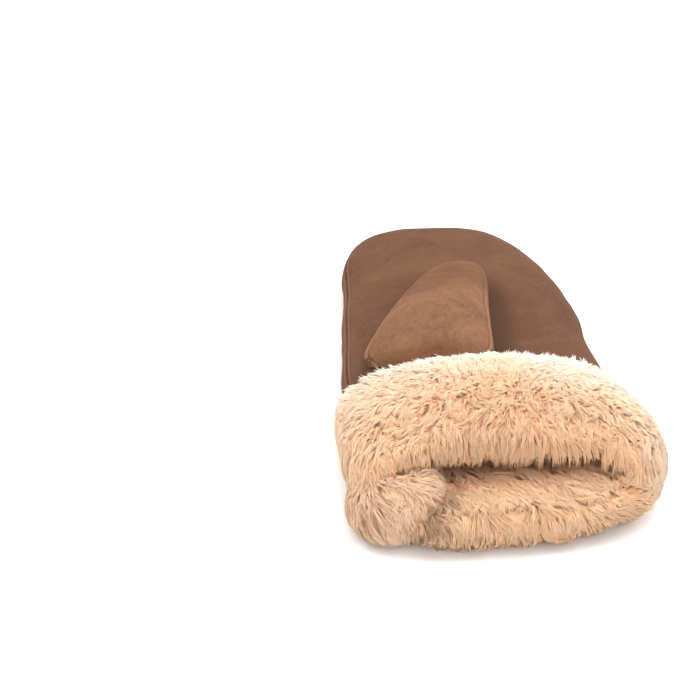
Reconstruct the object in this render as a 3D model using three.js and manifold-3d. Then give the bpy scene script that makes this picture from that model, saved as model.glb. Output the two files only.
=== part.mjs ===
// A left-hand suede mitten with a turned-back fur cuff, lying palm up with its thumb over the palm.
// Millimetres, +Z up. The fingers point along +Y and the mouth faces -Y.

import * as THREE from 'three';
import { mergeVertices } from 'three/addons/utils/BufferGeometryUtils.js';
import Module from 'manifold-3d';

const wasm = await Module();
wasm.setup();

// Driving sizes
const HAND_LENGTH = 164;
const HAND_WIDTH = 122;
const HAND_THICKNESS = 40;
const FLOOR_PRESS = 2;
const MOUTH_SLANT = 15;
const LEATHER_WALL = 1.8;
const PIECE_GAP = 0.3;
const THUMB_WALL = 1.5;
const THUMB_LENGTH = 92;
const THUMB_WIDTH = 60;
const THUMB_THICKNESS = 13;
const THUMB_CLEARANCE = 0.8;
const THUMB_HOLE_WIDTH = 36;
const THUMB_HOLE_LENGTH = 11;
const CUFF_PILE = 17;
const CUFF_TURN_BACK = 44;
const FOLD_WIDTH = 48;
const FOLD_LENGTH = 40;
const FOLD_HEIGHT = 33;
const LINING_PILE = 8;
const LOCK_LENGTH = 20;
const LOCK_WIDTH = 10;
const LOCK_DEPTH = 4;

// Places that follow from the driving sizes
const SEAM_ANGLE = THREE.MathUtils.degToRad(17);
const SEAM_FADE_ROWS = 4;
const WIDEST_LEVEL = 0.42;
const THUMB_BASE_X = -0.37 * THUMB_WIDTH;
const THUMB_HOLE_Y = 14;
const FOLD_PLACE = new THREE.Vector3(-0.36 * HAND_WIDTH, -0.37 * HAND_LENGTH, 0.33 * HAND_THICKNESS);
const FOLD_TURN = THREE.MathUtils.degToRad(38);

// How round the sections are: 2 is an ellipse, more is squarer
const PALM_ROUNDNESS = 2.35;
const BACK_ROUNDNESS = 2.7;
const THUMB_ROUNDNESS = 2.3;

// How quickly the pile thins between the cuff's four sides
const PILE_SHARPNESS = 3;

// How finely the surfaces are stepped
const PALM_COLUMNS = 14;
const BACK_COLUMNS = 18;
const THUMB_COLUMNS = 10;
const THUMB_CORNER_STEPS = 4;
const ROW_STEP = 0.5;
const CLOSE_TIP_ROWS = 5;
const LINING_START = 0.5;
const LINING_END = 5;
const LINING_SETBACK = 0.06;
const LINING_THINNING = 0.6;
const NORMAL_STEP = 0.01;
const TIP_SETBACK = 0.25;
const SEARCH_STEPS = 24;
const WIDEST_SHARE = 0.98;
const SEAM_STEP_SHARE = 0.2;
const HOLE_STEPS = 10;

// Sections of the hand from the mouth to the fingertip, as shares: along of HAND_LENGTH from the
// wrist line, left and right of half the HAND_WIDTH, top and under of HAND_THICKNESS, press of
// FLOOR_PRESS, slant of MOUTH_SLANT.
const HAND_SECTIONS = [
  { along: -0.342, left: 0.90, right: 0.95, top: 0.98, under: 0.24, press: 0, slant: 1 },
  { along: -0.235, left: 0.93, right: 0.98, top: 1.00, under: 0.22, press: 0, slant: 0.7 },
  { along: -0.122, left: 0.97, right: 1.01, top: 1.01, under: 0.17, press: 0, slant: 0.35 },
  { along: 0, left: 1.01, right: 1.03, top: 1.00, under: 0.07, press: 0, slant: 0 },
  { along: 0.122, left: 1.00, right: 1.01, top: 0.97, under: 0, press: 0.6, slant: 0 },
  { along: 0.256, left: 0.967, right: 0.975, top: 0.93, under: 0, press: 1, slant: 0 },
  { along: 0.396, left: 0.934, right: 1.00, top: 0.88, under: 0, press: 1, slant: 0 },
  { along: 0.537, left: 0.893, right: 0.96, top: 0.82, under: 0, press: 1, slant: 0 },
  { along: 0.659, left: 0.865, right: 0.90, top: 0.76, under: 0, press: 1, slant: 0 },
  { along: 0.774, left: 0.84, right: 0.82, top: 0.70, under: 0, press: 1, slant: 0 },
  { along: 0.866, left: 0.785, right: 0.715, top: 0.63, under: 0, press: 0.5, slant: 0 },
  { along: 0.927, left: 0.705, right: 0.60, top: 0.565, under: 0.03, press: 0, slant: 0 },
  { along: 0.966, left: 0.59, right: 0.465, top: 0.49, under: 0.09, press: 0, slant: 0 },
  { along: 0.991, left: 0.44, right: 0.32, top: 0.40, under: 0.18, press: 0, slant: 0 },
  { along: 1, left: 0.32, right: 0.20, top: 0.30, under: 0.30, press: 0, slant: 0 },
];
const WRIST_ROW = 3;
const TIP_ROW = HAND_SECTIONS.length - 1;

// Hollows and swells of the palm: x of half the HAND_WIDTH, y of HAND_LENGTH, reach in mm, rise in mm
const PALM_SWELLS = [
  { x: 0.40, y: 0.28, reachX: 11, reachY: 42, rise: -3.2 },
  { x: 0.66, y: 0.16, reachX: 13, reachY: 20, rise: 2.0 },
  { x: 0.10, y: 0.70, reachX: 26, reachY: 14, rise: -1.4 },
  { x: -0.72, y: 0.42, reachX: 10, reachY: 26, rise: -1.6 },
  { x: 0.62, y: 0.52, reachX: 16, reachY: 12, rise: 1.1 },
];

// The thumb's two side seams from its root to its tip, seen from above: x as a share of THUMB_WIDTH, y of
// THUMB_LENGTH.
const THUMB_OUTLINE = [
  { leftX: -0.81, leftY: 0.10, rightX: 0.117, rightY: 0.05 },
  { leftX: -0.853, leftY: 0.20, rightX: 0.133, rightY: 0.13 },
  { leftX: -0.735, leftY: 0.35, rightX: 0.15, rightY: 0.26 },
  { leftX: -0.608, leftY: 0.49, rightX: 0.177, rightY: 0.413 },
  { leftX: -0.467, leftY: 0.641, rightX: 0.208, rightY: 0.565 },
  { leftX: -0.325, leftY: 0.788, rightX: 0.242, rightY: 0.707 },
  { leftX: -0.208, leftY: 0.891, rightX: 0.253, rightY: 0.815 },
  { leftX: -0.108, leftY: 0.951, rightX: 0.25, rightY: 0.886 },
  { leftX: -0.008, leftY: 0.984, rightX: 0.233, rightY: 0.94 },
  { leftX: 0.083, leftY: 1, rightX: 0.2, rightY: 0.978 },
];

// The thumb's sections at the same rows: the seam's height, the crown over it and the belly under it as
// shares of THUMB_THICKNESS, how far the crown lags and the belly leads as shares of THUMB_LENGTH.
const THUMB_PROFILE = [
  { seam: 0.2, crown: -0.2, belly: 0.2, lag: 0.04, lead: 0.14 },
  { seam: 0.28, crown: 0.44, belly: 0.26, lag: 0.08, lead: 0.07 },
  { seam: 0.36, crown: 0.58, belly: 0.32, lag: 0.045, lead: 0.03 },
  { seam: 0.38, crown: 0.58, belly: 0.35, lag: 0.01, lead: 0.01 },
  { seam: 0.37, crown: 0.55, belly: 0.34, lag: 0, lead: 0 },
  { seam: 0.35, crown: 0.50, belly: 0.32, lag: 0, lead: 0 },
  { seam: 0.33, crown: 0.44, belly: 0.30, lag: 0, lead: 0 },
  { seam: 0.32, crown: 0.36, belly: 0.27, lag: 0, lead: 0 },
  { seam: 0.31, crown: 0.25, belly: 0.20, lag: 0, lead: 0 },
  { seam: 0.30, crown: 0, belly: 0, lag: 0, lead: 0 },
];
const THUMB_TIP_ROW = THUMB_OUTLINE.length - 1;

// The cuff's outside from its rear edge over the roll and into the mouth, as shares: ahead of
// CUFF_TURN_BACK past the leather's front edge, and the pile's depth of CUFF_PILE on each side.
const CUFF_RINGS = [
  { ahead: -1, right: 0.10, top: 0.20, left: 0.14, under: 0.05 },
  { ahead: -0.93, right: 0.22, top: 0.44, left: 0.30, under: 0.06 },
  { ahead: -0.76, right: 0.46, top: 0.62, left: 0.46, under: 0.12 },
  { ahead: -0.48, right: 0.78, top: 0.72, left: 0.58, under: 0.25 },
  { ahead: -0.14, right: 1.00, top: 0.74, left: 0.64, under: 0.50 },
  { ahead: 0.14, right: 0.90, top: 0.58, left: 0.56, under: 0.55 },
  { ahead: 0.29, right: 0.58, top: 0.20, left: 0.34, under: 0.36 },
  { ahead: 0.35, right: 0.14, top: -0.30, left: 0.02, under: 0.06 },
  { ahead: 0.29, right: -0.22, top: -0.70, left: -0.26, under: -0.34 },
  { ahead: 0.12, right: -0.42, top: -0.82, left: -0.42, under: -0.54 },
];

// Rows of locks on the cuff: the ring they root on, degrees round it, and how they lie: towards the
// mouth or away from it, and swung round it.
const CUFF_NAP = [
  { ring: 3.0, from: 0, to: 180, count: 13, mouthward: -0.8, swing: 0.1 },
  { ring: 3.6, from: -12, to: 192, count: 13, mouthward: -0.6, swing: -0.5 },
  { ring: 4.1, from: -22, to: 202, count: 14, mouthward: 0.5, swing: 0.5 },
  { ring: 4.8, from: -28, to: 208, count: 15, mouthward: 0.9, swing: -0.3 },
  { ring: 5.8, from: -35, to: 215, count: 15, mouthward: 0.9, swing: 0.1 },
  { ring: 7.0, from: 205, to: 335, count: 13, mouthward: -0.9, swing: 0.1 },
  { ring: 8.3, from: 235, to: 330, count: 9, mouthward: -0.9, swing: -0.2 },
];

// Locks on the fold: degrees round it, degrees up it, and their size
const FOLD_NAP = [
  { around: 150, up: 55, size: 0.9 },
  { around: 190, up: 30, size: 1 },
  { around: 215, up: 55, size: 0.85 },
  { around: 235, up: 25, size: 1.05 },
  { around: 262, up: 50, size: 0.9 },
  { around: 280, up: 22, size: 1 },
  { around: 300, up: 60, size: 0.95 },
  { around: 318, up: 28, size: 1 },
  { around: 345, up: 48, size: 0.9 },
  { around: 20, up: 62, size: 0.85 },
];
const FOLD_LOCK_TURN = 14;
const FOLD_LOCK_FALL = 40;
const FOLD_STEPS = 16;
const LOCK_ROW_SHIFT = 7;
const LOCK_SWAY = 0.7;
const LOCK_TIP_LIFT = 0.3;
const LOCK_SMALLEST = 0.8;
const LOCK_SPREAD = 0.4;
const LOCK_PARTS = [0, 0.5, 1];
const GOLDEN_SHARE = 0.618034;
const SKIN_STEP = 0.1;

const SUEDE = { color: 0x87624c, roughness: 0.95, metalness: 0 };
const THUMB_SUEDE = { color: 0xa0765a, roughness: 0.95, metalness: 0 };
const CUFF_FUR = { color: 0xe6b892, roughness: 1, metalness: 0 };
const LINING_FUR = { color: 0xd9a480, roughness: 1, metalness: 0 };

// A value from a table's column at a row that may lie between two, on a smooth curve.
function smoothColumn(table, column, row) {
  const last = table.length - 1;
  const at = Math.min(Math.max(row, 0), last);
  const first = Math.min(Math.floor(at), last - 1);
  const part = at - first;
  const value = (index) => table[Math.min(Math.max(index, 0), last)][column];
  const before = value(first - 1);
  const start = value(first);
  const end = value(first + 1);
  const after = value(first + 2);
  const bend = 2 * before - 5 * start + 4 * end - after;
  const twist = 3 * (start - end) + after - before;
  return start + 0.5 * part * (end - before + part * (bend + part * twist));
}

// A power that keeps its sign, for squarish ellipses.
function signedPower(value, power) {
  return Math.sign(value) * Math.abs(value) ** power;
}

// How much the palm rises or sinks at a place.
function palmSwell(x, y) {
  let rise = 0;
  for (const swell of PALM_SWELLS) {
    const across = (x - swell.x * HAND_WIDTH / 2) / swell.reachX;
    const along = (y - swell.y * HAND_LENGTH) / swell.reachY;
    rise += swell.rise * Math.exp(-across * across - along * along);
  }
  return rise;
}

// A point of the hand's outside: row 0 is the mouth, and angle 0 the right side, a quarter turn the palm.
function handPoint(row, angle) {
  const section = (column) => smoothColumn(HAND_SECTIONS, column, row);
  const top = section('top') * HAND_THICKNESS;
  const under = section('under') * HAND_THICKNESS - section('press') * FLOOR_PRESS;
  const level = under + WIDEST_LEVEL * (top - under);
  const across = Math.cos(angle);
  const up = Math.sin(angle);
  const roundness = up >= 0 ? PALM_ROUNDNESS : BACK_ROUNDNESS;
  const side = across >= 0 ? section('right') : section('left');
  const height = up >= 0 ? top - level : level - under;
  const x = side * HAND_WIDTH / 2 * signedPower(across, 2 / roundness);
  const y = section('along') * HAND_LENGTH + section('slant') * MOUTH_SLANT * up;
  const lift = signedPower(up, 2 / roundness);
  const swell = up > 0 ? palmSwell(x, y) * lift * lift : 0;
  return new THREE.Vector3(x, y, Math.max(level + height * lift + swell, 0));
}

// The outward direction of a surface given as a function of row and angle.
function outwardOf(surface, row, angle, lastRow) {
  const near = Math.min(row, lastRow - TIP_SETBACK);
  const before = Math.max(near - NORMAL_STEP, 0);
  const alongRow = surface(near + NORMAL_STEP, angle).sub(surface(before, angle));
  const aroundRow = surface(near, angle + NORMAL_STEP).sub(surface(near, angle - NORMAL_STEP));
  const outward = alongRow.cross(aroundRow);
  if (row === lastRow) {
    outward.z = 0;
  }
  return outward.normalize();
}

// A point of the hand moved outward, or inward where the distance is negative.
function handOffset(row, angle, distance) {
  const outward = outwardOf(handPoint, row, angle, TIP_ROW);
  return handPoint(row, angle).addScaledVector(outward, distance);
}

// The height of the palm's outside over a place, for what lies on the palm.
function palmHeight(x, y) {
  let low = WRIST_ROW - 1;
  let high = TIP_ROW;
  for (let step = 0; step < SEARCH_STEPS; step += 1) {
    const middle = (low + high) / 2;
    if (smoothColumn(HAND_SECTIONS, 'along', middle) * HAND_LENGTH < y) {
      low = middle;
    } else {
      high = middle;
    }
  }
  const side = smoothColumn(HAND_SECTIONS, x >= 0 ? 'right' : 'left', low) * HAND_WIDTH / 2;
  const across = THREE.MathUtils.clamp(x / side, -WIDEST_SHARE, WIDEST_SHARE);
  return handPoint(low, Math.acos(signedPower(across, PALM_ROUNDNESS / 2))).z;
}

// A point of the thumb's outside: angle 0 is its right seam, a quarter turn its crown.
function thumbPoint(row, angle) {
  const outline = (column) => smoothColumn(THUMB_OUTLINE, column, row);
  const profile = (column) => smoothColumn(THUMB_PROFILE, column, row);
  const across = signedPower(Math.cos(angle), 2 / THUMB_ROUNDNESS);
  const up = signedPower(Math.sin(angle), 2 / THUMB_ROUNDNESS);
  const part = (1 - across) / 2;
  const x = THREE.MathUtils.lerp(outline('rightX'), outline('leftX'), part) * THUMB_WIDTH;
  const seamY = THREE.MathUtils.lerp(outline('rightY'), outline('leftY'), part) * THUMB_LENGTH;
  const shift = up >= 0 ? -profile('lag') : profile('lead');
  const y = seamY + shift * Math.abs(up) * THUMB_LENGTH;
  const bulge = up >= 0 ? profile('crown') : profile('belly');
  const raised = (profile('seam') + bulge * up) * THUMB_THICKNESS;
  return new THREE.Vector3(x, y, palmHeight(x, y) + THUMB_CLEARANCE + raised);
}

// A solid whose skin is a grid of points that closes on itself both ways: rings set one after another.
function closedTube(rings) {
  const columns = rings[0].length;
  const index = [];
  const place = (ring, column) => (ring % rings.length) * columns + (column % columns);
  for (let ring = 0; ring < rings.length; ring += 1) {
    for (let column = 0; column < columns; column += 1) {
      const near = place(ring, column);
      const side = place(ring, column + 1);
      const far = place(ring + 1, column + 1);
      const ahead = place(ring + 1, column);
      index.push(near, side, far, near, far, ahead);
    }
  }
  return solidFrom(rings.flat().flatMap((point) => point.toArray()), index);
}

// A thick sheet between an outer and an inner grid of points, closed along its four edges.
function thickSheet(outer, inner) {
  const loops = outer.map((row, slot) => [...row, ...inner[slot].slice().reverse()]);
  const around = loops[0].length;
  const index = [];
  const quad = (a, b, c, d) => index.push(a, b, c, a, c, d);
  for (let row = 0; row < loops.length - 1; row += 1) {
    const here = row * around;
    for (let column = 0; column < around; column += 1) {
      const next = (column + 1) % around;
      const corners = [here + column, here + next, here + around + next, here + around + column];
      const turned = column < around / 2 ? corners : [...corners.slice(1), corners[0]];
      quad(...turned);
    }
  }
  const end = (loops.length - 1) * around;
  for (let column = 0; column < around / 2 - 1; column += 1) {
    const facing = around - 1 - column;
    quad(facing, facing - 1, column + 1, column);
    quad(end + column, end + column + 1, end + facing - 1, end + facing);
  }
  return solidFrom(loops.flat().flatMap((point) => point.toArray()), index);
}

// A manifold solid from points and triangles, turned right side out.
function solidFrom(positions, index) {
  let volume = 0;
  const corner = (slot) => new THREE.Vector3().fromArray(positions, 3 * index[slot]);
  for (let slot = 0; slot < index.length; slot += 3) {
    volume += corner(slot).dot(corner(slot + 1).cross(corner(slot + 2)));
  }
  const turned = volume < 0 ? [...index].reverse() : index;
  const mesh = new wasm.Mesh({
    numProp: 3,
    vertProperties: new Float32Array(positions),
    triVerts: new Uint32Array(turned),
  });
  return new wasm.Manifold(mesh);
}

// Evenly spaced values from the first to the last.
function spaced(first, last, steps) {
  return Array.from({ length: steps + 1 }, (_, step) => first + (last - first) * step / steps);
}

// The rows that the hand's skin is stepped at: close at the cuff and at the fingertip.
const handRows = spaced(0, TIP_ROW, TIP_ROW / ROW_STEP).filter((row) => (
  row <= WRIST_ROW || row >= TIP_ROW - CLOSE_TIP_ROWS || Number.isInteger(row)
));

// How far round from the widest line the seam lies: constant along the sides, none at the fingertip.
function seamAngle(row) {
  return SEAM_ANGLE * Math.min((TIP_ROW - row) / SEAM_FADE_ROWS, 1);
}

const palmAngles = (row) => spaced(seamAngle(row), Math.PI - seamAngle(row), PALM_COLUMNS);
const backAngles = (row) => spaced(Math.PI - seamAngle(row), 2 * Math.PI + seamAngle(row), BACK_COLUMNS);
const ringAngles = [...palmAngles(0).slice(0, -1), ...backAngles(0).slice(0, -1)];

// The angles of one row with its two ends drawn in by half of the gap at the seam.
function anglesInsideSeam(surface, row, angles) {
  const inside = [...angles];
  const last = angles.length - 1;
  const stepAt = (angle) => {
    const span = surface(row, angle + NORMAL_STEP).distanceTo(surface(row, angle - NORMAL_STEP));
    return Math.min(PIECE_GAP * NORMAL_STEP / span, SEAM_STEP_SHARE * (angles[1] - angles[0]));
  };
  inside[0] += stepAt(angles[0]);
  inside[last] -= stepAt(angles[last]);
  return inside;
}

// One side of a hollow form: its outside and inside with the gap kept at the seam and at the tip.
function panel(surface, rows, angles, wall, towards, keepClear) {
  const lastRow = rows[rows.length - 1];
  const outer = [];
  const inner = [];
  for (const row of rows) {
    const inside = anglesInsideSeam(surface, row, angles(row));
    const apart = row === lastRow ? towards * PIECE_GAP / 2 : 0;
    const outside = inside.map((angle) => surface(row, angle));
    outside.forEach((point) => point.setZ(point.z + apart));
    outer.push(outside);
    inner.push(outside.map((point, slot) => {
      const outward = outwardOf(surface, row, inside[slot], lastRow);
      return keepClear(point.clone().addScaledVector(outward, -wall), point, row);
    }));
  }
  return thickSheet(outer, inner);
}

// The hole in the palm under the thumb's root.
function thumbHole() {
  const outline = new THREE.Shape();
  outline.absellipse(0, 0, THUMB_HOLE_WIDTH / 2, THUMB_HOLE_LENGTH / 2, 0, 2 * Math.PI);
  const drill = new THREE.ExtrudeGeometry(outline, {
    depth: HAND_THICKNESS,
    bevelEnabled: false,
    curveSegments: HOLE_STEPS,
  });
  drill.translate(THUMB_BASE_X, THUMB_HOLE_Y, HAND_THICKNESS / 2);
  return solidOf(drill);
}

// A manifold solid from a three.js geometry, its repeated corners joined.
function solidOf(geometry) {
  geometry.deleteAttribute('normal');
  geometry.deleteAttribute('uv');
  const joined = mergeVertices(geometry);
  return solidFrom([...joined.getAttribute('position').array], [...joined.getIndex().array]);
}

// The cuff's pile depth at a ring and an angle, full on its four sides and thinner between them.
function pileDepth(ring, angle) {
  const column = (name) => smoothColumn(CUFF_RINGS, name, ring);
  const across = Math.cos(angle);
  const up = Math.sin(angle);
  const side = across >= 0 ? column('right') : column('left');
  const level = up >= 0 ? column('top') : column('under');
  return (side * Math.abs(across) ** PILE_SHARPNESS + level * Math.abs(up) ** PILE_SHARPNESS) * CUFF_PILE;
}

// A point of the cuff's outside.
function cuffPoint(ring, angle) {
  const ahead = smoothColumn(CUFF_RINGS, 'ahead', ring);
  const row = Math.max(-ahead, 0) * WRIST_ROW;
  const outward = outwardOf(handPoint, row, angle, TIP_ROW).setY(0).normalize();
  const point = handPoint(row, angle).addScaledVector(outward, pileDepth(ring, angle));
  point.y -= Math.max(ahead, 0) * CUFF_TURN_BACK;
  point.z = Math.max(point.z, 0);
  return point;
}

// A ring of points round the leather, moved outward or inward and forward.
function ringRound(row, distance, forward) {
  return ringAngles.map((angle) => {
    const point = handOffset(row, angle, distance);
    point.y -= forward;
    point.z = Math.max(point.z, 0);
    return point;
  });
}

// A ring of points inside the leather, as deep inside it as the pile is thick, with the same outline.
function innerRing(row, pile) {
  const depth = LEATHER_WALL + PIECE_GAP + pile;
  const quarters = [0, 1, 2, 3].map((quarter) => handPoint(row, quarter * Math.PI / 2));
  const middle = (quarters[1].z + quarters[3].z) / 2;
  const shrinkX = 1 - 2 * depth / (quarters[0].x - quarters[2].x);
  const shrinkZ = 1 - 2 * depth / (quarters[1].z - quarters[3].z);
  return ringAngles.map((angle) => {
    const point = handPoint(row, angle);
    return new THREE.Vector3(point.x * shrinkX, point.y, middle + (point.z - middle) * shrinkZ);
  });
}

// A lock of fur from its root, middle and tip, each a place on the skin with the way out of it: a ridge
// that rises from the skin, narrows and ends in a point.
function lock(places, size) {
  const [root, middle, tip] = places;
  const profile = [
    { place: root, wide: 0.3, sink: 1, rise: -0.1 },
    { place: middle, wide: 0.5, sink: 0.5, rise: 0.95 },
  ];
  const along = tip.point.clone().sub(root.point).normalize();
  const positions = [];
  for (const { place, wide, sink, rise } of profile) {
    const across = new THREE.Vector3().crossVectors(along, place.outward).normalize();
    const corners = [[-wide, -sink], [wide, -sink], [0, rise]];
    for (const [side, height] of corners) {
      const point = place.point.clone()
        .addScaledVector(across, side * LOCK_WIDTH * size)
        .addScaledVector(place.outward, height * LOCK_DEPTH * size);
      positions.push(point.x, point.y, Math.max(point.z, 0));
    }
  }
  const end = tip.point.clone().addScaledVector(tip.outward, LOCK_TIP_LIFT * LOCK_DEPTH * size);
  positions.push(end.x, end.y, Math.max(end.z, 0));
  const index = [0, 1, 2];
  for (let side = 0; side < 3; side += 1) {
    const next = (side + 1) % 3;
    index.push(side, 3 + side, 3 + next, side, 3 + next, next, 3 + side, 6, 3 + next);
  }
  return solidFrom(positions, index);
}

// A golden-ratio run of numbers between 0 and 1, for placing locks without a pattern.
function scatter(count, start) {
  return (start + count * GOLDEN_SHARE) % 1;
}

// A point of the fold's skin, pressed flat on the floor: around it and from its foot to its crown.
function foldPoint(around, up) {
  const level = Math.cos(up);
  const point = new THREE.Vector3(
    0.5 * FOLD_WIDTH * level * Math.cos(around),
    0.5 * FOLD_LENGTH * level * Math.sin(around),
    0.5 * FOLD_HEIGHT * Math.sin(up),
  );
  point.applyAxisAngle(new THREE.Vector3(0, 0, 1), FOLD_TURN).add(FOLD_PLACE);
  point.z = Math.max(point.z, 0);
  return point;
}

// A place on the cuff's skin and the way out of it.
function skinPlace(ring, angle) {
  const ahead = cuffPoint(ring + SKIN_STEP, angle).sub(cuffPoint(ring - SKIN_STEP, angle));
  const around = cuffPoint(ring, angle + SKIN_STEP).sub(cuffPoint(ring, angle - SKIN_STEP));
  return { point: cuffPoint(ring, angle), outward: around.cross(ahead).normalize() };
}

// A lock on the cuff: laid along the skin towards the mouth or away, and swung to one side.
function cuffLock(ring, angle, nap) {
  const step = 0.5;
  const perRing = cuffPoint(ring + step, angle).distanceTo(cuffPoint(ring - step, angle));
  const ends = [angle + SKIN_STEP, angle - SKIN_STEP].map((turn) => cuffPoint(ring, turn));
  const perRadian = ends[0].distanceTo(ends[1]) / (2 * SKIN_STEP);
  const length = LOCK_LENGTH * nap.size;
  const places = LOCK_PARTS.map((part) => skinPlace(
    ring + part * nap.mouthward * length / perRing,
    angle + part * nap.swing * length / perRadian,
  ));
  return lock(places, nap.size);
}

// All the cuff's locks, in staggered rows.
function cuffLocks() {
  const wisps = [];
  CUFF_NAP.forEach((nap, row) => {
    for (let place = 0; place < nap.count; place += 1) {
      const chance = scatter(place + row * LOCK_ROW_SHIFT, 0);
      const turn = (place + 0.5 * (row % 2) + 0.5 * (chance - 0.5)) / nap.count;
      const angle = nap.from + (nap.to - nap.from) * turn;
      wisps.push(cuffLock(nap.ring, THREE.MathUtils.degToRad(angle), {
        mouthward: nap.mouthward,
        swing: nap.swing + LOCK_SWAY * (scatter(place, 0.3) - 0.5),
        size: LOCK_SMALLEST + LOCK_SPREAD * chance,
      }));
    }
  });
  return wisps;
}

// The locks on the fold, which all fall towards the mouth's front.
function foldLocks() {
  return FOLD_NAP.map(({ around, up, size }) => {
    const places = LOCK_PARTS.map((part) => {
      const turn = THREE.MathUtils.degToRad(around + part * FOLD_LOCK_TURN * size);
      const level = THREE.MathUtils.degToRad(up - part * FOLD_LOCK_FALL * size);
      const point = foldPoint(turn, level);
      return { point, outward: point.clone().sub(FOLD_PLACE).normalize() };
    });
    return lock(places, size);
  });
}

// The palm side of the hand.
function palmPanel() {
  const tipSeam = HAND_SECTIONS[TIP_ROW].top * HAND_THICKNESS + PIECE_GAP / 2;
  const overTipSeam = (point) => point.setZ(Math.max(point.z, tipSeam));
  return panel(handPoint, handRows, palmAngles, LEATHER_WALL, 1, overTipSeam).subtract(thumbHole());
}

// The back of the hand, underneath.
function backPanel() {
  return panel(handPoint, handRows, backAngles, LEATHER_WALL, -1, (point) => point);
}

// The thumb's rows, with the first step split where its lower corner turns
const thumbRows = [
  ...spaced(0, 1, THUMB_CORNER_STEPS),
  ...spaced(1, THUMB_TIP_ROW, THUMB_TIP_ROW - 1).slice(1),
];

// The height of the thumb's seam over a place, moved up or down by the gap.
function thumbSeam(point, row, towards) {
  const seam = smoothColumn(THUMB_PROFILE, 'seam', row) * THUMB_THICKNESS;
  return palmHeight(point.x, point.y) + THUMB_CLEARANCE + seam + towards * PIECE_GAP;
}

// The thumb's upper half.
function thumbOuter() {
  const overSeam = (point, outside, row) => (
    point.setZ(Math.max(point.z, Math.min(outside.z, thumbSeam(point, row, 1))))
  );
  return panel(thumbPoint, thumbRows, () => spaced(0, Math.PI, THUMB_COLUMNS), THUMB_WALL, 1, overSeam);
}

// The thumb's under half.
function thumbInner() {
  const underSeam = (point, outside, row) => (
    point.setZ(Math.min(point.z, Math.max(outside.z, thumbSeam(point, row, -1))))
  );
  const under = () => spaced(Math.PI, 2 * Math.PI, THUMB_COLUMNS);
  return panel(thumbPoint, thumbRows, under, THUMB_WALL, -1, underSeam);
}

// The fold that the cuff's left end makes over the mouth.
function cuffFold() {
  const puff = new THREE.SphereGeometry(1, FOLD_STEPS, FOLD_STEPS / 2);
  const points = puff.getAttribute('position');
  for (let slot = 0; slot < points.count; slot += 1) {
    const around = Math.atan2(points.getZ(slot), points.getX(slot));
    const point = foldPoint(around, Math.asin(THREE.MathUtils.clamp(points.getY(slot), -1, 1)));
    points.setXYZ(slot, point.x, point.y, point.z);
  }
  return solidOf(puff);
}

// The room that the leather takes at the mouth, with its gap all round.
function leatherRoom() {
  const rows = spaced(0, WRIST_ROW, WRIST_ROW / ROW_STEP);
  const inwards = -LEATHER_WALL - PIECE_GAP;
  return closedTube([
    ringRound(0, PIECE_GAP, PIECE_GAP),
    ...rows.map((row) => ringRound(row, PIECE_GAP, 0)),
    ...rows.map((row) => ringRound(row, inwards, 0)).reverse(),
    ringRound(0, inwards, PIECE_GAP),
  ]);
}

// The pile sleeve behind the mouth, or the room that it takes where it is grown by the gap.
function liningSleeve(grown) {
  const inwards = -LEATHER_WALL - PIECE_GAP + grown;
  const start = LINING_START + LINING_SETBACK * (grown > 0 ? 0.5 : 1);
  const rows = [start, ...handRows.filter((row) => row >= 1 && row <= LINING_END)];
  const deep = (row) => THREE.MathUtils.lerp(1, LINING_THINNING, (row - 1) / (LINING_END - 1));
  return closedTube([
    ...rows.map((row) => ringRound(row, inwards, 0)),
    ...rows.map((row) => innerRing(row, LINING_PILE * deep(row) + grown)).reverse(),
  ]);
}

// The cuff: its outside, its way into the mouth, and its face towards the leather.
function furCuff() {
  const outside = CUFF_RINGS.map((_, ring) => ringAngles.map((angle) => cuffPoint(ring, angle)));
  const inwards = -LEATHER_WALL - PIECE_GAP;
  const rings = [
    ...outside,
    innerRing(LINING_START, LINING_PILE),
    ringRound(LINING_START, inwards, 0),
    ringRound(0, inwards, 0),
    ringRound(0, inwards, PIECE_GAP),
    ringRound(0, PIECE_GAP, PIECE_GAP),
    ...spaced(0, WRIST_ROW, WRIST_ROW / ROW_STEP).map((row) => ringRound(row, PIECE_GAP, 0)),
  ];
  const puff = foldLocks().reduce((whole, wisp) => whole.add(wisp), cuffFold());
  const fold = puff.subtract(leatherRoom()).subtract(liningSleeve(PIECE_GAP));
  return cuffLocks().reduce((whole, wisp) => whole.add(wisp), closedTube(rings)).add(fold);
}

const group = new THREE.Group();
group.name = 'leather_mitten';

// Adds a named piece to the mitten.
function addPiece(name, solid, finish) {
  const result = solid.getMesh();
  const geometry = new THREE.BufferGeometry();
  geometry.setAttribute('position', new THREE.BufferAttribute(new Float32Array(result.vertProperties), 3));
  geometry.setIndex(new THREE.BufferAttribute(new Uint32Array(result.triVerts), 1));
  geometry.computeVertexNormals();
  const mesh = new THREE.Mesh(geometry, new THREE.MeshStandardMaterial(finish));
  mesh.name = name;
  group.add(mesh);
}

addPiece('palm_panel', palmPanel(), SUEDE);
addPiece('back_panel', backPanel(), SUEDE);
addPiece('thumb_outer', thumbOuter(), THUMB_SUEDE);
addPiece('thumb_inner', thumbInner(), THUMB_SUEDE);
addPiece('fur_cuff', furCuff(), CUFF_FUR);
addPiece('fur_lining', liningSleeve(0), LINING_FUR);

// The middle of the outline goes to the origin, and the underside to z = 0
const bounds = new THREE.Box3().setFromObject(group);
const middle = bounds.getCenter(new THREE.Vector3());
for (const piece of group.children) {
  piece.geometry.translate(-middle.x, -middle.y, -bounds.min.z);
}

export default group;
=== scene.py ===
"""A left-hand suede mitten with a turned-back fur cuff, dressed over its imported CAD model.

All sizes are in millimetres and turn into metres where a mesh is made. The fingers point along +Y, the
mouth faces -Y, and the palm looks up.
"""

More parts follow.
